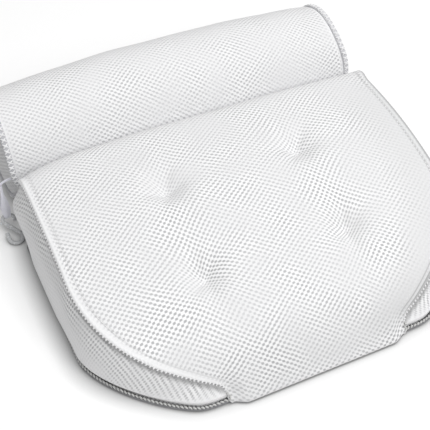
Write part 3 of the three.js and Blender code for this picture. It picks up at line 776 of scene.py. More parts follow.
def cover_lines():
    """Lines across the cover from its nose to the fold: y, height on the nose or none, length of cloth."""
    ys = np.linspace(COVER_FRONT, CREASE_Y - 0.6, int((CREASE_Y - COVER_FRONT) / COVER_PITCH))
    lines = list(COVER_NOSE)
    arc = 0.0
    for y, after in zip(ys, np.append(ys[1:], ys[-1])):
        lines.append((y, None, arc))
        arc += math.hypot(after - y, crown_height(after) - crown_height(y))
    return lines


# How plain its mesh is, and the painted shade on it
RIGHT_TIGHT_PLAIN = 0.85  # mesh drawn tight, with painted shade over the same place, inside the right rim,
TIGHT_SHADE_IN = (10.0, 62.0)  # less and less inward
TIGHT_SHADE_BACK = (10.0, 66.0)  # and towards the back
# painted shade that greys the cover inside the right rim
RIGHT_PAINTED_SHADE = 0.22
BAND_WIDTH = 3.5  # plain band beside the lips
BAND_MORE = 5.5  # and how much wider it is at the front
BAND_RUN = (-150.0, -60.0)
FRONT_SHADE = 0.16
FRONT_SHADE_RUN = (-185.0, -140.0)
# painted shade in the groove along the row of stitches, stronger on the right
SEWN_SHADE = {-1: 0.25, 1: 0.4}
SEWN_WIDTH = 0.8
# painted shadow: a dark line along the right rim of the cover and over the right lip
EDGE_SHADE = 0.5
EDGE_WIDTH = 1.4
OVER_PLAIN = 0.8  # over the left lip
OVER_SHADE = 0.6  # painted shade over the right lip


def cover_marks(x, y, rim, nose, front):
    """How plain the mesh is along a line of the cover and how much painted shade it carries, with its ends
    over the lips.
    """
    right = x > 0
    # tight mesh and painted shade inside the right rim
    tight_and_shaded = RIGHT_TIGHT_PLAIN * fade(*TIGHT_SHADE_IN, rim) * right * fade(*TIGHT_SHADE_BACK, y) * front
    band = 1 - ramp(0, BAND_WIDTH + BAND_MORE * fade(*BAND_RUN, y), rim)
    # painted shade that darkens the front slope, full on the lowest lines of the nose
    foot = FRONT_SHADE * fade(*FRONT_SHADE_RUN, y)
    if nose is not None and nose < NOSE_FOOT:
        foot = 1.0
    # painted shade in the groove along the row of stitches
    sewn = np.where(right, SEWN_SHADE[1], SEWN_SHADE[-1]) * bell(rim - STITCH_INSIDE, SEWN_WIDTH) * front
    edge = EDGE_SHADE * fade(0, EDGE_WIDTH, rim) * right * front
    over = np.ones(len(ROLL_OVER_TURNS))
    plain = np.concatenate([OVER_PLAIN * over, np.maximum(band * front, tight_and_shaded), over])
    dark = np.clip(foot + sewn + RIGHT_PAINTED_SHADE * tight_and_shaded + edge, 0, 1)
    return plain, np.concatenate([foot * over, dark, max(foot, OVER_SHADE * front) * over])


def pad_cover():
    shares = np.sin(np.linspace(-1, 1, COVER_COLUMNS) * COVER_BEND) / math.sin(COVER_BEND)
    lines = []
    for y, nose, arc in cover_lines():
        half, out = cover_edge(y)
        if nose is not None:
            half -= NOSE_ROUND * (1 - nose / NOSE_TOP) ** 1.5
        x = shares * half
        rim = half - np.abs(x)
        front = ramp(COVER_FRONT, COVER_FRONT + FRONT_RUN, y)
        z = nose
        if nose is None:
            z = np.array([cover_lay(y, share) for share in shares]) - tuft_dip(x, y)
            z += unevenness(x, y, COVER_WAVE) * front * ramp(*WAVE_RUN, rim)
            z -= STITCH_GROOVE * bell(rim - STITCH_INSIDE, GROOVE_WIDTH) * front
        fuller = np.where(x > 0, rear_fullness(y, 1), -rear_fullness(y, -1)) * np.abs(shares) ** 5
        row = points(x + fuller, y, z)
        reach = lip_radius(y)
        left = rolled_over(row[0], out, reach, -1)[::-1]
        right = rolled_over(row[-1], out, reach, 1)
        over = reach * (math.pi / 2 - ROLL_OVER_TURNS)
        uv = points(np.concatenate([-half - over[::-1], x, half + over]), arc)
        uv[len(over):-len(over)] += tuft_draw(x, y)
        lines.append((np.concatenate([left, row, right]), uv, *cover_marks(x, y, rim, nose, front)))
    return cloth_panel("pad_cover", lines, MESH)


cover = pad_cover()
settle(cover, "pad", "spacer_mesh", "pad_top_cover", "pad_filling")


# Side panels. Round the front corners their foot tucks in behind the sewn edge.
GUSSET_OUT = 0.9  # outside the solids' outline,
GUSSET_SIDE_OUT = 1.2  # and more along the sides
GUSSET_FOOT = 1.5
GUSSET_TOP = 0.8  # below the axis of the lip
GUSSET_BULGE = 4.0
GUSSET_TALL = 80.0
GUSSET_RIPPLE = 0.35
GUSSET_REAR_PUFF = (7.0, 7.0)  # outward and back, where the pad fills out beside the fold
CORNER_RUN = (1.0, 1.35)  # steps over which the corner passes into the side
CORNER_LIFT = 4.3
CORNER_TUCK = 2.6
CORNER_TUCK_RISE = 4.0
REAR_TUCK_RUN = (1.7, 1.92)


def gusset_point(step, level, side):
    at_corner = fade(*CORNER_RUN, step)
    low_x, low_y = shifted(base_plan, step, GUSSET_OUT + GUSSET_SIDE_OUT * (1 - at_corner))
    high_x, high_y = shifted(seam_plan, step, GUSSET_OUT)
    high_x += rear_fullness(high_y, side)
    low = GUSSET_FOOT + CORNER_LIFT * at_corner
    tall = seam_point(step, side)[2] - GUSSET_TOP - low
    foot = level * tall
    rear = max(0, step - 1)
    out = GUSSET_BULGE * min(1, tall / GUSSET_TALL) * (1 - 0.5 * rear**6) * 4 * level * (1 - level)
    out -= CORNER_TUCK * at_corner * fade(0, CORNER_TUCK_RISE, foot)
    out -= ramp(*REAR_TUCK_RUN, step) * rear_tuck(foot, side)
    out += GUSSET_RIPPLE * math.sin(9 * step + 3 * level) * math.sin(math.pi * level)
    puff = ramp(0.7, 1.0, step - 1) * math.sin(math.pi * ramp(0.2, 1.0, level))
    out_x, out_y = outward(base_plan, step)
    x = between(low_x, high_x, level) + out * out_x + GUSSET_REAR_PUFF[0] * puff
    y = between(low_y, high_y, level) + out * out_y + GUSSET_REAR_PUFF[1] * puff
    return [x, y, low + foot]


# How the mesh lies on the side panels, at the front corner and at the back: cloth per millimetre
GUSSET_WALES = (1.6, 0.55)  # along the panel, between upright columns of holes
GUSSET_SLANT = (0.42, 0.95)  # along the panel, by which the rows of holes climb
GUSSET_ROWS = (0.78, 1.0)  # up the panel
GUSSET_CHANGE = (60.0, 240.0)  # from the front tip, where the one passes into the other
# How plain it is there and how much painted shade it carries, with the distances over which that fades
GUSSET_PLAIN = 0.8
GUSSET_PLAIN_DOWN = (14.0, 40.0)
GUSSET_PLAIN_BACK = (50.0, 120.0)
UNDER_LIP_PLAIN = (1.0, 3.5)
FOOT_PLAIN = (2.0, 10.0)
UNDER_LIP_SHADE = 0.6
UNDER_LIP_RUN = (2.0, 7.5)
SIDE_FOOT_RUN = (0.9, 2.6)
CORNER_FOOT_SHADE = 0.55
CORNER_FOOT_RUN = (0.2, 1.2)
CORNER_SHADE = 0.06
CORNER_SHADE_RUN = (60.0, 190.0)


def cloth_pull(arcs, pull):
    return between(*pull, ramp(*GUSSET_CHANGE, arcs))


def cloth_lengths(arcs, pull):
    """Cloth from the front tip to each place along a side panel, for a pull that changes towards the back."""
    drawn = cloth_pull(arcs, pull)
    return np.concatenate([[0], np.cumsum(np.diff(arcs) * (drawn[1:] + drawn[:-1]) / 2)])


def side_panel(name, side):
    steps = plan_steps(80, 56)
    levels = np.concatenate([np.linspace(0, 0.12, 8), np.linspace(0.12, 1, 26)[1:]])
    grid = np.array([[gusset_point(s, v, side) for v in levels] for s in steps])
    middle = lengths_along(grid[:, len(levels) // 2])
    rise = np.array([lengths_along(row) for row in grid])
    down = rise[:, -1:] - rise
    along = middle[:, None]
    uv = np.zeros(grid.shape[:2] + (2,))
    uv[..., 0] = cloth_lengths(middle, GUSSET_WALES)[:, None]
    uv[..., 1] = cloth_lengths(middle, GUSSET_SLANT)[:, None] + cloth_pull(along, GUSSET_ROWS) * rise
    broad = GUSSET_PLAIN * ramp(*GUSSET_PLAIN_DOWN, down) * ramp(*GUSSET_PLAIN_BACK, along)
    plain = np.maximum(fade(*UNDER_LIP_PLAIN, down), broad)
    plain = np.maximum(plain, fade(*FOOT_PLAIN, rise))
    at_side = ramp(1.0, 1.3, steps)[:, None]
    # painted shadow under the lip, painted contact shadow along the foot, painted shade in the gaps at the
    # corner foot and near the front corner
    shade = UNDER_LIP_SHADE * fade(*UNDER_LIP_RUN, down) + at_side * fade(*SIDE_FOOT_RUN, rise)
    shade += CORNER_FOOT_SHADE * (1 - at_side) * fade(*CORNER_FOOT_RUN, rise)
    shade = np.clip(shade + CORNER_SHADE * fade(*CORNER_SHADE_RUN, along), 0, 1)
    lines = list(zip(grid * (side, 1, 1), uv, plain, shade))
    return cloth_panel(name, lines if side < 0 else lines[::-1], MESH)


# Rolled lips along the top seams, with the cut edge of the mesh showing along their lower side
LIP_TIP = [(80.6, -192.1, 2.6), (83.2, -191.4, 4.4), (84.5, -189.6, 6.6), (84.9, -187.4, 8.9)]
LIP_UNDER = 0.5  # the lip lies this far under the cover
LIP_FLAT = 0.95
LIP_TOOTH = (3.4, 2.7, 0.85)
LIP_TOOTH_SLANT = math.pi / 2 - 0.25
TOP_STITCH = (4.3, 2.8, 0.4)
SUNK = 0.5  # threads lie this far into the cloth


def lip(name, side):
    path = resampled(LIP_TIP + [seam_point(s, side) for s in plan_steps(120, 40)], 0.6)
    path = path * (-1, 1, 1) if side < 0 else path[::-1]
    arcs = lengths_along(path)

    def section(arc):
        radius = lip_radius(np.interp(arc, arcs, path[:, 1])) - LIP_UNDER
        return oval(radius, LIP_FLAT * radius, 14)

    return swept(name, path, section, TAPE)


def lip_overcast(name, side):
    """Short threads over the cut edge of the cover, square to the seam."""
    path = []
    for step in plan_steps(120, 40):
        _, y, z = seam_point(step, side)
        out_x, out_y = shifted(seam_plan, step, lip_radius(y) + 0.1)
        path.append((side * (out_x + rear_fullness(y, side)), out_y, z - SUNK))
    path = resampled(path, LIP_TOOTH[0])

    def from_seam(places):
        return np.cross(np.gradient(places, axis=0), (0, 0, 1)) * side

    return stitches(name, path, THREAD, LIP_TOOTH, from_seam, LIP_TOOTH_SLANT)


def lip_stitches(name, side):
    path = []
    for step in plan_steps(120, 40, start=0.08, end=1.95):
        x, y = shifted(seam_plan, step, -STITCH_INSIDE)
        path.append([side * x, y, cover_lay(y, side * x / cover_edge(y)[0]) - SUNK])
    return stitches(name, path, THREAD, TOP_STITCH)


for side, word in SIDES:
    settle(side_panel(f"gusset_{word}", side), "pad", "spacer_mesh", f"side_panel_{word}")
    settle(lip(f"seam_lip_{word}", side), "pad", "seam_edging", f"top_seam_lip_{word}")
    settle(lip_stitches(f"lip_stitching_{word}", side), "pad", "sewing_thread")
    settle(lip_overcast(f"lip_overcast_{word}", side), "pad", "sewing_thread")


# Base binding, sewn all the way round
BINDING_STITCH = 3.5
BINDING_RADIUS = 1.75
BINDING_FLAT = 0.85
BINDING_PINCH = 0.08  # share of its radius that each stitch draws in
BINDING_OUT = 0.5
BINDING_DOWN = 1.0


def base_loop():
    half = [base_plan(s) for s in plan_steps(60, 60)]
    half.append([BASE_HALF - REAR_RADIUS, BASE_BACK])
    loop = half + [[-x, y] for x, y in half[::-1]]
    return [[x, y, BINDING_HEIGHT] for x, y in loop]


def binding_profile(arc):
    pinch = 0.5 + 0.5 * math.cos(TURN * arc / BINDING_STITCH)
    radius = BINDING_RADIUS * (1 - BINDING_PINCH * pinch)
    return [(a + BINDING_OUT, b - BINDING_DOWN) for a, b in oval(radius, BINDING_FLAT * radius, 12)]


binding_path = resampled(base_loop(), 1.05, closed=True)
binding = swept("binding", binding_path, binding_profile, SHADED_BASE_TAPE, closed=True)
settle(binding, "pad", "seam_edging", "base_binding")

# Sewn edge round the front corners, a rope of slanting stitches that turns up round the tip
ROPE_TIP = [(85.0, -188.2, 9.6), (84.0, -190.6, 7.6), (83.6, -191.8, 5.6), (84.9, -191.6, 4.7)]
ROPE_RUN = (0.02, 1.25)  # steps of the outline that it follows
ROPE_OUT = 0.2
ROPE_RISE = 1.5
ROPE_STITCH = (BINDING_STITCH, 3.9, 0.9)
ROPE_SLANT = 0.45


def corner_stitches(name, side):
    plan = [shifted(base_plan, step, ROPE_OUT) for step in np.linspace(*ROPE_RUN, 100)]
    path = ROPE_TIP + [(x, y, BINDING_HEIGHT + ROPE_RISE) for x, y in plan]
    path = [(side * x, y, z) for x, y, z in path]
    return stitches(name, path, SHADED_EDGE_THREAD, ROPE_STITCH, slant=ROPE_SLANT * side)


for side, word in SIDES:
    settle(corner_stitches(f"corner_stitching_{word}", side), "pad", "sewing_thread")


# Back panel under the crease
BACK_LOW_HALF = 176.5
BACK_HIGH_HALF = 165.5
BACK_FOOT = 3.6
BACK_OUT = 0.9
BACK_LEAN = CREASE_Y - 1.5 - BASE_BACK
BACK_BULGE = 2.5
BACK_WAVE = 0.3
BACK_CLOTH = 66.0  # from its foot to the crease
BACK_EDGE = 0.08  # share of it that is drawn tight along each edge


def back_cloth():
    levels = np.linspace(0, 1, 28)
    arch = np.sin(math.pi * levels)
    plain = fade(0, BACK_EDGE, np.minimum(levels, 1 - levels))
    lines = []
    for share in np.linspace(1, -1, 120):
        z = between(BACK_FOOT, crease_height(share * BACK_HIGH_HALF) - CLOTH, levels)
        half = between(BACK_LOW_HALF, BACK_HIGH_HALF, levels) - rear_tuck(z - BACK_FOOT, side_of(share))
        x = share * half
        y = BASE_BACK + BACK_OUT + BACK_LEAN * levels
        y += arch * (BACK_BULGE * (1 - share**4) + unevenness(x, z * 3, BACK_WAVE))
        lines.append((points(x, y, z), points(x, BACK_CLOTH * levels), plain, 0 * x))
    return cloth_panel("back_cloth", lines, MESH)


settle(back_cloth(), "pad", "spacer_mesh", "back_panel")

# Base panel, drawn in round each cup and each tie
BASE_INSET = 2.7
BASE_THICK = 2.0
BASE_WAVE = 0.12
TIE_LIFT = 1.6
TIE_SPREAD = 9.0
CUP_PLAIN = 0.8
CUP_PLAIN_RUN = (9.0, 16.0)


def recess_height(x, y, cups):
    lift = np.zeros(np.broadcast(x, y).shape)
    for cx, cy in cups.values():
        away = np.hypot(x - cx, y - cy)
        lift = np.maximum(lift, (RECESS_UNDER - PANEL_UNDER) * fade(RECESS_TOP, RECESS_RIM, away))
    return lift


def base_half(y):
    """Half width of the base panel, rounded off at the rear."""
    over = y - (BASE_BACK - REAR_RADIUS)
    if over > 0:
        round_off = REAR_RADIUS - math.sqrt(max(0, REAR_RADIUS**2 - over**2))
        return BASE_HALF - BASE_INSET - round_off
    step = step_at_y(lambda s: shifted(base_plan, s, -BASE_INSET), y)
    return max(FRONT_HALF, shifted(base_plan, step, -BASE_INSET)[0])


def base_cloth():
    lines = []
    for y in np.linspace(BASE_FRONT + BASE_INSET, BASE_BACK - BASE_INSET, 90):
        x = np.linspace(1, -1, 130) * base_half(y)
        z = PANEL_UNDER + recess_height(x, y, PAD_CUPS) + unevenness(x, y, BASE_WAVE)
        z += sum(TIE_LIFT * bell(np.hypot(x - tx, y - ty), TIE_SPREAD) for tx, ty in TUFTS)
        away = np.min([np.hypot(x - cx, y - cy) for cx, cy in PAD_CUPS.values()], axis=0)
        lines.append((points(x, y, z), points(x, y), CUP_PLAIN * fade(*CUP_PLAIN_RUN, away), 0 * x))
    return cloth_panel("base_cloth", lines, MESH, thick=BASE_THICK)


settle(base_cloth(), "pad", "spacer_mesh", "pad_base_panel")

# Neck roll
ROLL_COLUMNS = 150
ROLL_ROWS_END = 175.0
ROLL_PLAIN = 0.2  # its mesh is drawn a little tighter than the pad's
ROLL_PLAIN_END = (1.0, 5.5)
ROLL_WAVE = 0.4
ROLL_CREASE_OUT = 0.9  # its cloth reaches to this far behind the crease
ROLL_CREASE_SPREAD = 0.2
ROLL_END_IN = 1.2  # drawn in under the tape at its ends
ROLL_END_RUN = 4.0
ROLL_DRAW_START = 90.0
ROLL_UNDER = 0.9  # above the underside of the solid
ROLL_CLOTH = 55.0  # cloth round it, per radian


def roll_section(x):
    radius = ROLL_RADIUS - ROLL_TAPER * (x / ROLL_HALF_LENGTH) ** 2
    away = radius + ROLL_CLEAR
    return radius, CREASE_Y + away * math.cos(ROLL_TILT), CREASE_HEIGHT - away * math.sin(ROLL_TILT)


def end_draw(side, turns):
    """How far an end is drawn in: all round, at its top, and where its rim runs into the fold."""
    top = ROLL_TOP_DRAW[side] * ramp(0.1, 1.0, np.sin(turns))
    fold = ROLL_FOLD_DRAW[side] * bell(turns - ROLL_FOLD_TURN[side], ROLL_FOLD_SPREAD[side])
    return ROLL_END_DRAW[side] + top + fold


def roll_cloth():
    turns = turns_round(ROLL_COLUMNS)
    xs = np.linspace(-ROLL_ROWS_END, ROLL_ROWS_END, 156)
    lines = []
    for x in [-ROLL_COVER_END, *xs, ROLL_COVER_END]:
        radius, cy, cz = roll_section(x)
        rim = ROLL_COVER_END - abs(x)
        crease_y, crease_z = CREASE_Y + ROLL_CREASE_OUT - cy, crease_height(x) - cz
        from_crease = turns - math.atan2(crease_z, crease_y) % TURN
        r = radius + unevenness(x, turns * ROLL_RADIUS, ROLL_WAVE) * ramp(*WAVE_RUN, rim)
        r += (math.hypot(crease_y, crease_z) - radius) * bell(from_crease, ROLL_CREASE_SPREAD)
        r -= ROLL_END_IN * fade(0, ROLL_END_RUN, rim)
        y = cy + r * np.cos(turns)
        z = cz + r * np.sin(turns)
        floor = PANEL_UNDER + ROLL_UNDER + recess_height(x, y, ROLL_CUPS)
        z = np.where(np.sin(turns) < -0.3, np.maximum(z, floor), z)
        side = side_of(x)
        drawn = side * end_draw(side, turns) * ramp(ROLL_DRAW_START, ROLL_COVER_END, abs(x))
        uv = points(x, np.append(turns, TURN) * ROLL_CLOTH)
        plain = np.full_like(turns, max(ROLL_PLAIN, fade(*ROLL_PLAIN_END, rim)))
        lines.append((points(x - drawn, y, z), uv, plain, 0 * turns))
    return cloth_panel("roll_cloth", lines, MESH, wraps=True)


roll = roll_cloth()
take_place(roll, "spacer_mesh", "roll_cover", "roll_filling")
bend_with_fold(roll, *ROLL_BEND)

# Ends of the roll: a disc of mesh, the tape sewn over its edge and the stitches there and back
DISC_IN = 1.6
DISC_OUT = 1.2
DISC_DOME = 0.4
DISC_EDGE = 1.0  # sinks under the tape
DISC_PLAIN = 0.35
DISC_PLAIN_RUN = (2.0, 7.0)
# painted shade on both end discs of the roll
DISC_SHADE = 0.3
END_TAPE_SECTION = (1.5, 2.9)  # outward and across
END_TAPE_IN = 0.4
END_STITCH = (5.4, 6.4, 0.75)
END_STITCH_OUT = 1.2
END_STITCH_SLANT = 0.9


def roll_end_cloth(name, side):
    end_radius, cy, cz = roll_section(ROLL_PIPING_X)
    disc = end_radius - DISC_IN
    turns = turns_round(96)
    if side < 0:
        turns = (math.pi - turns) % TURN
    lines = []
    for share in [0.001, *np.linspace(0.06, 1, 26)]:
        r = share * disc
        dome = DISC_DOME * (1 - share**2) - DISC_EDGE * ramp(0.93, 1.0, share)
        x = side * (ROLL_PIPING_X + DISC_OUT + dome - share**4 * end_draw(side, turns))
        y = cy + r * np.cos(turns)
        z = cz + r * np.sin(turns)
        uv = points(np.append(y, y[0]), np.append(z, z[0]))
        plain = np.full_like(turns, max(DISC_PLAIN, fade(*DISC_PLAIN_RUN, disc - r)))
        lines.append((points(x, y, z), uv, plain, np.full_like(turns, DISC_SHADE)))
    return cloth_panel(name, lines[::-1], MESH, wraps=True)


def end_ring(side, out):
    end_radius, cy, cz = roll_section(ROLL_PIPING_X)
    turns = turns_round(240)
    r = end_radius + out
    x = side * (ROLL_PIPING_X - end_draw(side, turns))
    return points(x, cy + r * np.cos(turns), cz + r * np.sin(turns))


def from_roll_axis(places):
    _, cy, cz = roll_section(ROLL_PIPING_X)
    return (places - (0, cy, cz)) * (0, 1, 1)


def end_stitches(name, side, slant):
    ring = end_ring(side, END_STITCH_OUT)
    return stitches(name, ring, THREAD, END_STITCH, from_roll_axis, slant, closed=True)


for side, word in SIDES:
    disc = roll_end_cloth(f"roll_disc_{word}", side)
    take_place(disc, "spacer_mesh", f"roll_end_{word}")
    bend_with_fold(disc, *ROLL_BEND)
    ring = resampled(end_ring(side, -END_TAPE_IN), 1.0, closed=True)
    section = oval(*END_TAPE_SECTION, 16)
    band = swept(f"roll_edge_{word}", ring, section, END_TAPE[side], toward=(1, 0, 0), closed=True)
    take_place(band, "seam_edging", f"roll_end_piping_{word}")
    bend_with_fold(band, *ROLL_BEND)
    for row, slant in (("there", END_STITCH_SLANT), ("back", -END_STITCH_SLANT)):
        sewn = end_stitches(f"roll_stitching_{row}_{word}", side, slant)
        take_place(sewn, "sewing_thread")
        bend_with_fold(sewn, *ROLL_BEND)


# Fold seam
FOLD_CORD_DOWN = 2.2


def fold_line():
    xs = np.linspace(-FOLD_END, FOLD_END, 90)
    return resampled([(x, CREASE_Y, crease_height(x) - FOLD_CORD_DOWN) for x in xs], 2.0)


fold = swept("fold_seam", fold_line(), oval(FOLD_CORD_RADIUS, FOLD_CORD_RADIUS, 12), EDGING)
take_place(fold, "seam_edging", "fold_seam_cord")
bend_with_fold(fold, CREASE_Y - 2, CREASE_Y + 2)

# Tuft ties: the thread through the pad and the stitch in the tuft
TIE_RADIUS = 0.7
TIE_FOOT = 0.9


def tuft_tie(name, x, y):
    top = crown_height(y) - TUFT_DEPTH - TUFT_CORE_DEPTH
    path = [(x, y, TIE_FOOT), (x + 0.01, y, top * 0.5), (x, y + 0.01, top + 0.3)]
    path += [(x + 0.6, y, top + 0.9), (x + 1.6, y, top + 0.7)]
    section = oval(TIE_RADIUS, TIE_RADIUS, 8)
    return swept(name, resampled(path, 1.2), section, THREAD, toward=(0, 1, 0))


for word, (x, y) in zip(TUFT_NAMES, TUFTS):
    settle(tuft_tie(f"tuft_thread_{word}", x, y), "pad", "sewing_thread", f"tuft_tie_{word}")


# Suction cups and the eyelets they turn in, as radii and heights
CUP_WALL = 0.8
CUP_HOLLOW = 5.0
CUP_RIM = [(CUP_RADIUS - 0.1, 0.0), (CUP_RADIUS + 0.15, 0.4), (CUP_RADIUS + 0.1, 0.9)]
CUP_BACK = 1.2  # height of its back at the rim
CUP_BACK_RISE = 8.3
CUP_SHOULDER = 7.5
CUP_HEAD = [(4.4, 9.5), (4.0, 9.9), (4.0, 15.7), (6.2, 15.7), (6.5, 16.0), (5.3, 18.3), (0, 18.3)]
EYELET_BORE = (4.3, 10.0)
EYELET_FLANGE = [(4.6, 9.8), (8.6, 9.8), (9.0, 10.2), (8.8, 10.9), (7.6, 11.2), (4.6, 11.2), (4.3, 11.0)]
EYELET_PROFILE = [EYELET_BORE, *EYELET_FLANGE, EYELET_BORE]


def cup_profile():
    """From the middle of the hollow round the rim and over the back to the top of the head."""
    shares = np.linspace(0, 1, 14)
    under = points(shares * (CUP_RADIUS - CUP_WALL), CUP_HOLLOW * (1 - shares**2))
    over = points(between(CUP_RADIUS, CUP_SHOULDER, shares), CUP_BACK + CUP_BACK_RISE * shares**1.5)
    return [*under.tolist(), *CUP_RIM, *over.tolist(), *CUP_HEAD]


for word, (x, y) in {**PAD_CUPS, **ROLL_CUPS}.items():
    carrier = "roll" if word in ROLL_CUPS else "pad"
    cup = turned(f"cup_{word}", cup_profile(), VINYL, (x, y))
    settle(cup, f"cup_{word}", "clear_vinyl", f"suction_cup_{word}")
    eyelet = turned(f"eyelet_{word}", EYELET_PROFILE, HOOK_PLASTIC, (x, y))
    settle(eyelet, carrier, "clear_plastic", f"cup_eyelet_{word}")
    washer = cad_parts[f"cup_washer_{word}"]
    washer.data.materials.clear()
    washer.data.materials.append(HOOK_PLASTIC)


# Hanging loop, and the tab that holds it
RIBBON_SHANK = 6.0  # both legs lie together this far down
RIBBON_TOGETHER = 0.5  # from the middle to a leg there,
RIBBON_OPEN = 3.0  # and to a leg at the hook
RIBBON_NARROW = 2.6
RIBBON_LEAF = 6.0  # how much wider it opens
RIBBON_LEAF_RUN = (0.2, 0.62)  # on the way down a leg
RIBBON_GATHER = 0.6  # share of that which it loses round the hook
RIBBON_GATHER_RUN = (0.7, 1.0)
RIBBON_HALF_THICK = 0.3
RIBBON_BOW = 0.25
TAB_LOW = RIBBON_ROOT + 1.1
TAB_SECTION = (0.6, 1.4)


def ribbon_loop():
    """The ribbon's two legs and the loop round the hook, as one strip."""
    parting = RIBBON_ROOT - RIBBON_SHANK
    leg = [(RIBBON_TOGETHER - 0.05, RIBBON_ROOT + 0.6), (RIBBON_TOGETHER, parting)]
    for share in np.linspace(0.1, 1, 9):
        out = between(RIBBON_TOGETHER, RIBBON_OPEN, math.sin(share * math.pi / 2))
        leg.append((out, between(parting, HOOK_HIGH, share)))
    turns = np.linspace(0, math.pi, 13)[1:-1]
    loop = [(RIBBON_OPEN * math.cos(turn), HOOK_HIGH - RIBBON_OPEN * math.sin(turn)) for turn in turns]
    path = leg + loop + [(-a, b) for a, b in leg[::-1]]
    return [(LOOP_X, LOOP_Y + a, b) for a, b in path]


ribbon_path = resampled(ribbon_loop(), 1.0)
ribbon_length = lengths_along(ribbon_path)[-1]


def ribbon_section(arc):
    """Narrow at the tab, open like a leaf on the way down, gathered round the hook, and slightly bowed."""
    share = arc / ribbon_length
    down = 2 * min(share, 1 - share)
    leaf = RIBBON_LEAF * ramp(*RIBBON_LEAF_RUN, down) * (1 - RIBBON_GATHER * ramp(*RIBBON_GATHER_RUN, down))
    across = np.linspace(-0.5, 0.5, 7)
    bow = RIBBON_BOW * np.cos(TURN * across)
    width = (RIBBON_NARROW + leaf) * across
    outer = points(bow + RIBBON_HALF_THICK, width)
    return np.concatenate([outer, points(bow - RIBBON_HALF_THICK, width)[::-1]])


def loop_tab():
    path = [(LOOP_X - 1.0, LOOP_Y, TAB_LOW + 1.2), (LOOP_X + 2.5, LOOP_Y - 0.3, TAB_LOW + 3.6)]
    path += [(LOOP_X + 7.0, LOOP_Y - 0.8, TAB_LOW + 5.6), (LOOP_X + 16.0, LOOP_Y - 2.5, TAB_LOW + 7.6)]
    return swept("loop_tab", resampled(path, 0.8), oval(*TAB_SECTION, 14), SATIN)


ribbon = swept("ribbon", ribbon_path, ribbon_section, SATIN, toward=(1, 0, 0))
settle(ribbon, "ribbon", "satin_ribbon", "hang_ribbon")
settle(loop_tab(), "roll", "satin_ribbon", "hang_loop_tab")

# Hook
HOOK_SECTION = (1.36 * HOOK_WIRE, 0.85 * 1.36 * HOOK_WIRE)


def arc_points(x, y, radius, start, end, count):
    turns = np.linspace(start, end, count + 1)
    return [(x + radius * math.cos(t), y + radius * math.sin(t)) for t in turns]


def hook_path():
    curl = arc_points(LOOP_X, LOOP_Y - HOOK_TURN, HOOK_TURN, -0.3, math.pi, 14)
    bowl_x = LOOP_X + HOOK_BOWL - HOOK_TURN
    bowl = arc_points(bowl_x, LOOP_Y - HOOK_REACH, HOOK_BOWL, 0.5, -math.pi, 16)
    plan = curl + bowl + [(LOOP_X - HOOK_TURN, LOOP_Y - HOOK_REACH + HOOK_TIP)]
    fall = (HOOK_HIGH - HOOK_LOW) / (HOOK_REACH + HOOK_TURN)
    return [(x, y, HOOK_HIGH - fall * (LOOP_Y - y)) for x, y in plan]


hook = swept("hook", resampled(hook_path(), 0.8), oval(*HOOK_SECTION, 16), HOOK_PLASTIC)
settle(hook, "hook", "clear_plastic", "hang_hook")

# Floor, light and camera
FLOOR_HALF = 2000.0
FLOOR_GREY = 0.79  # as seen round the pillow,
FLOOR_GLOW = 0.21  # with this glow, which keeps it white round the shadow
FLOOR_BOUNCE = 0.9  # as it lights the pillow from below
FLOOR_FAR = (0.55, 1.0)  # metres out, where it turns into a plain white backdrop
CONTACT_SHADE = 0.02  # metres beside the pillow over which a painted contact shadow darkens the floor
WORLD_LIGHT = 0.4
LIGHT_AIM = (0, 0, 0.05)


def seen_rays(tree):
    """Rays that show white, straight from the camera or by way of gloss or glass, and the straight ones."""
    path = add_node(tree, "LightPath")
    direct = path.outputs["Is Camera Ray"]
    seen = maths(tree, "MAXIMUM", direct, path.outputs["Is Glossy Ray"])
    return maths(tree, "MAXIMUM", seen, path.outputs["Is Transmission Ray"]), direct


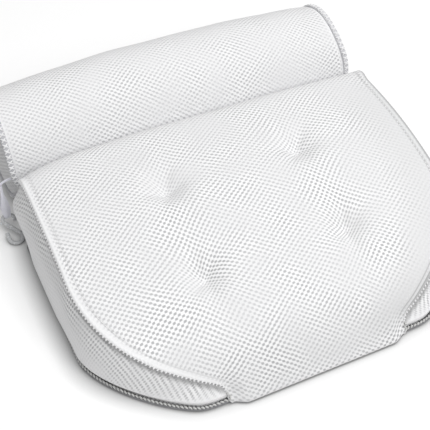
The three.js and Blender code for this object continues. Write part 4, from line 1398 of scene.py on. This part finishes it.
def floor_material():
    material, tree, shader = new_material("studio_floor")
    seen, direct = seen_rays(tree)
    length = add_node(tree, "VectorMath", {0: object_place(tree)}, operation="LENGTH")
    far = mapped(tree, length.outputs["Value"], *FLOOR_FAR, smooth=True)
    # painted contact shadow: ambient occlusion darkens the floor and its glow beside the pillow's foot
    beside = add_node(tree, "AmbientOcclusion", {"Distance": CONTACT_SHADE}, samples=16).outputs["AO"]
    near = mixed(tree, direct, grey(FLOOR_BOUNCE), mixed(tree, beside, grey(0), grey(FLOOR_GREY)))
    feed(tree, shader, {
        "Base Color": mixed(tree, far, near, grey(0)),
        "Roughness": 1.0,
        "Specular IOR Level": 0.0,
    })
    shown = maths(tree, "MULTIPLY_ADD", far, 1 - FLOOR_GLOW, FLOOR_GLOW)
    shown = maths(tree, "MULTIPLY", seen, maths(tree, "MULTIPLY", shown, beside))
    glow = add_node(tree, "Emission", {"Color": grey(1), "Strength": shown})
    both = add_node(tree, "AddShader", {0: shader.outputs[0], 1: glow.outputs[0]})
    tree.links.new(both.outputs[0], tree.nodes["Material Output"].inputs["Surface"])
    return material


def studio_floor():
    plan = [(FLOOR_HALF * x, FLOOR_HALF * y) for x, y in ((-1, -1), (1, -1), (1, 1), (-1, 1))]
    floor = finish_mesh("floor", [(x, y, 0) for x, y in plan], [[0, 1, 2, 3]], plan, floor_material())


def soft_light(name, place, size, power):
    data = bpy.data.lights.new(name, "AREA")
    data.size = size
    data.energy = power
    lamp = bpy.data.objects.new(name, data)
    lamp.location = place
    lamp.rotation_euler = (Vector(LIGHT_AIM) - Vector(place)).to_track_quat("-Z", "Y").to_euler()
    scene.collection.objects.link(lamp)


def studio_world():
    world = bpy.data.worlds.new("studio")
    world.use_nodes = True
    tree = world.node_tree
    seen, _ = seen_rays(tree)
    strength = maths(tree, "MULTIPLY_ADD", seen, 1 - WORLD_LIGHT, WORLD_LIGHT)
    feed(tree, tree.nodes["Background"], {"Color": grey(1), "Strength": strength})
    scene.world = world


def photo_camera():
    data = bpy.data.cameras.new("camera")
    data.sensor_width = 36.0
    data.lens = VIEW_LENS
    data.clip_start = 0.01
    aim = Matrix.Translation((Vector(VIEW_AIM) + Vector((TO_MIDDLE, 0, 0))) * MM)
    turns = ((VIEW_AZIMUTH, "Z"), (math.pi / 2 - VIEW_ELEVATION, "X"), (VIEW_ROLL, "Z"))
    for angle, axis in turns:
        aim = aim @ Matrix.Rotation(angle, 4, axis)
    camera = bpy.data.objects.new("camera", data)
    camera.matrix_world = aim @ Matrix.Translation((0, 0, VIEW_DISTANCE * MM))
    scene.collection.objects.link(camera)
    scene.camera = camera


studio_floor()
soft_light("overhead", place=(0.5, 0.2, 2.2), size=1.2, power=20.2)
soft_light("front", place=(0.35, -1.5, 1.8), size=1.5, power=27.5)
studio_world()
photo_camera()
scene.view_settings.view_transform = "Standard"
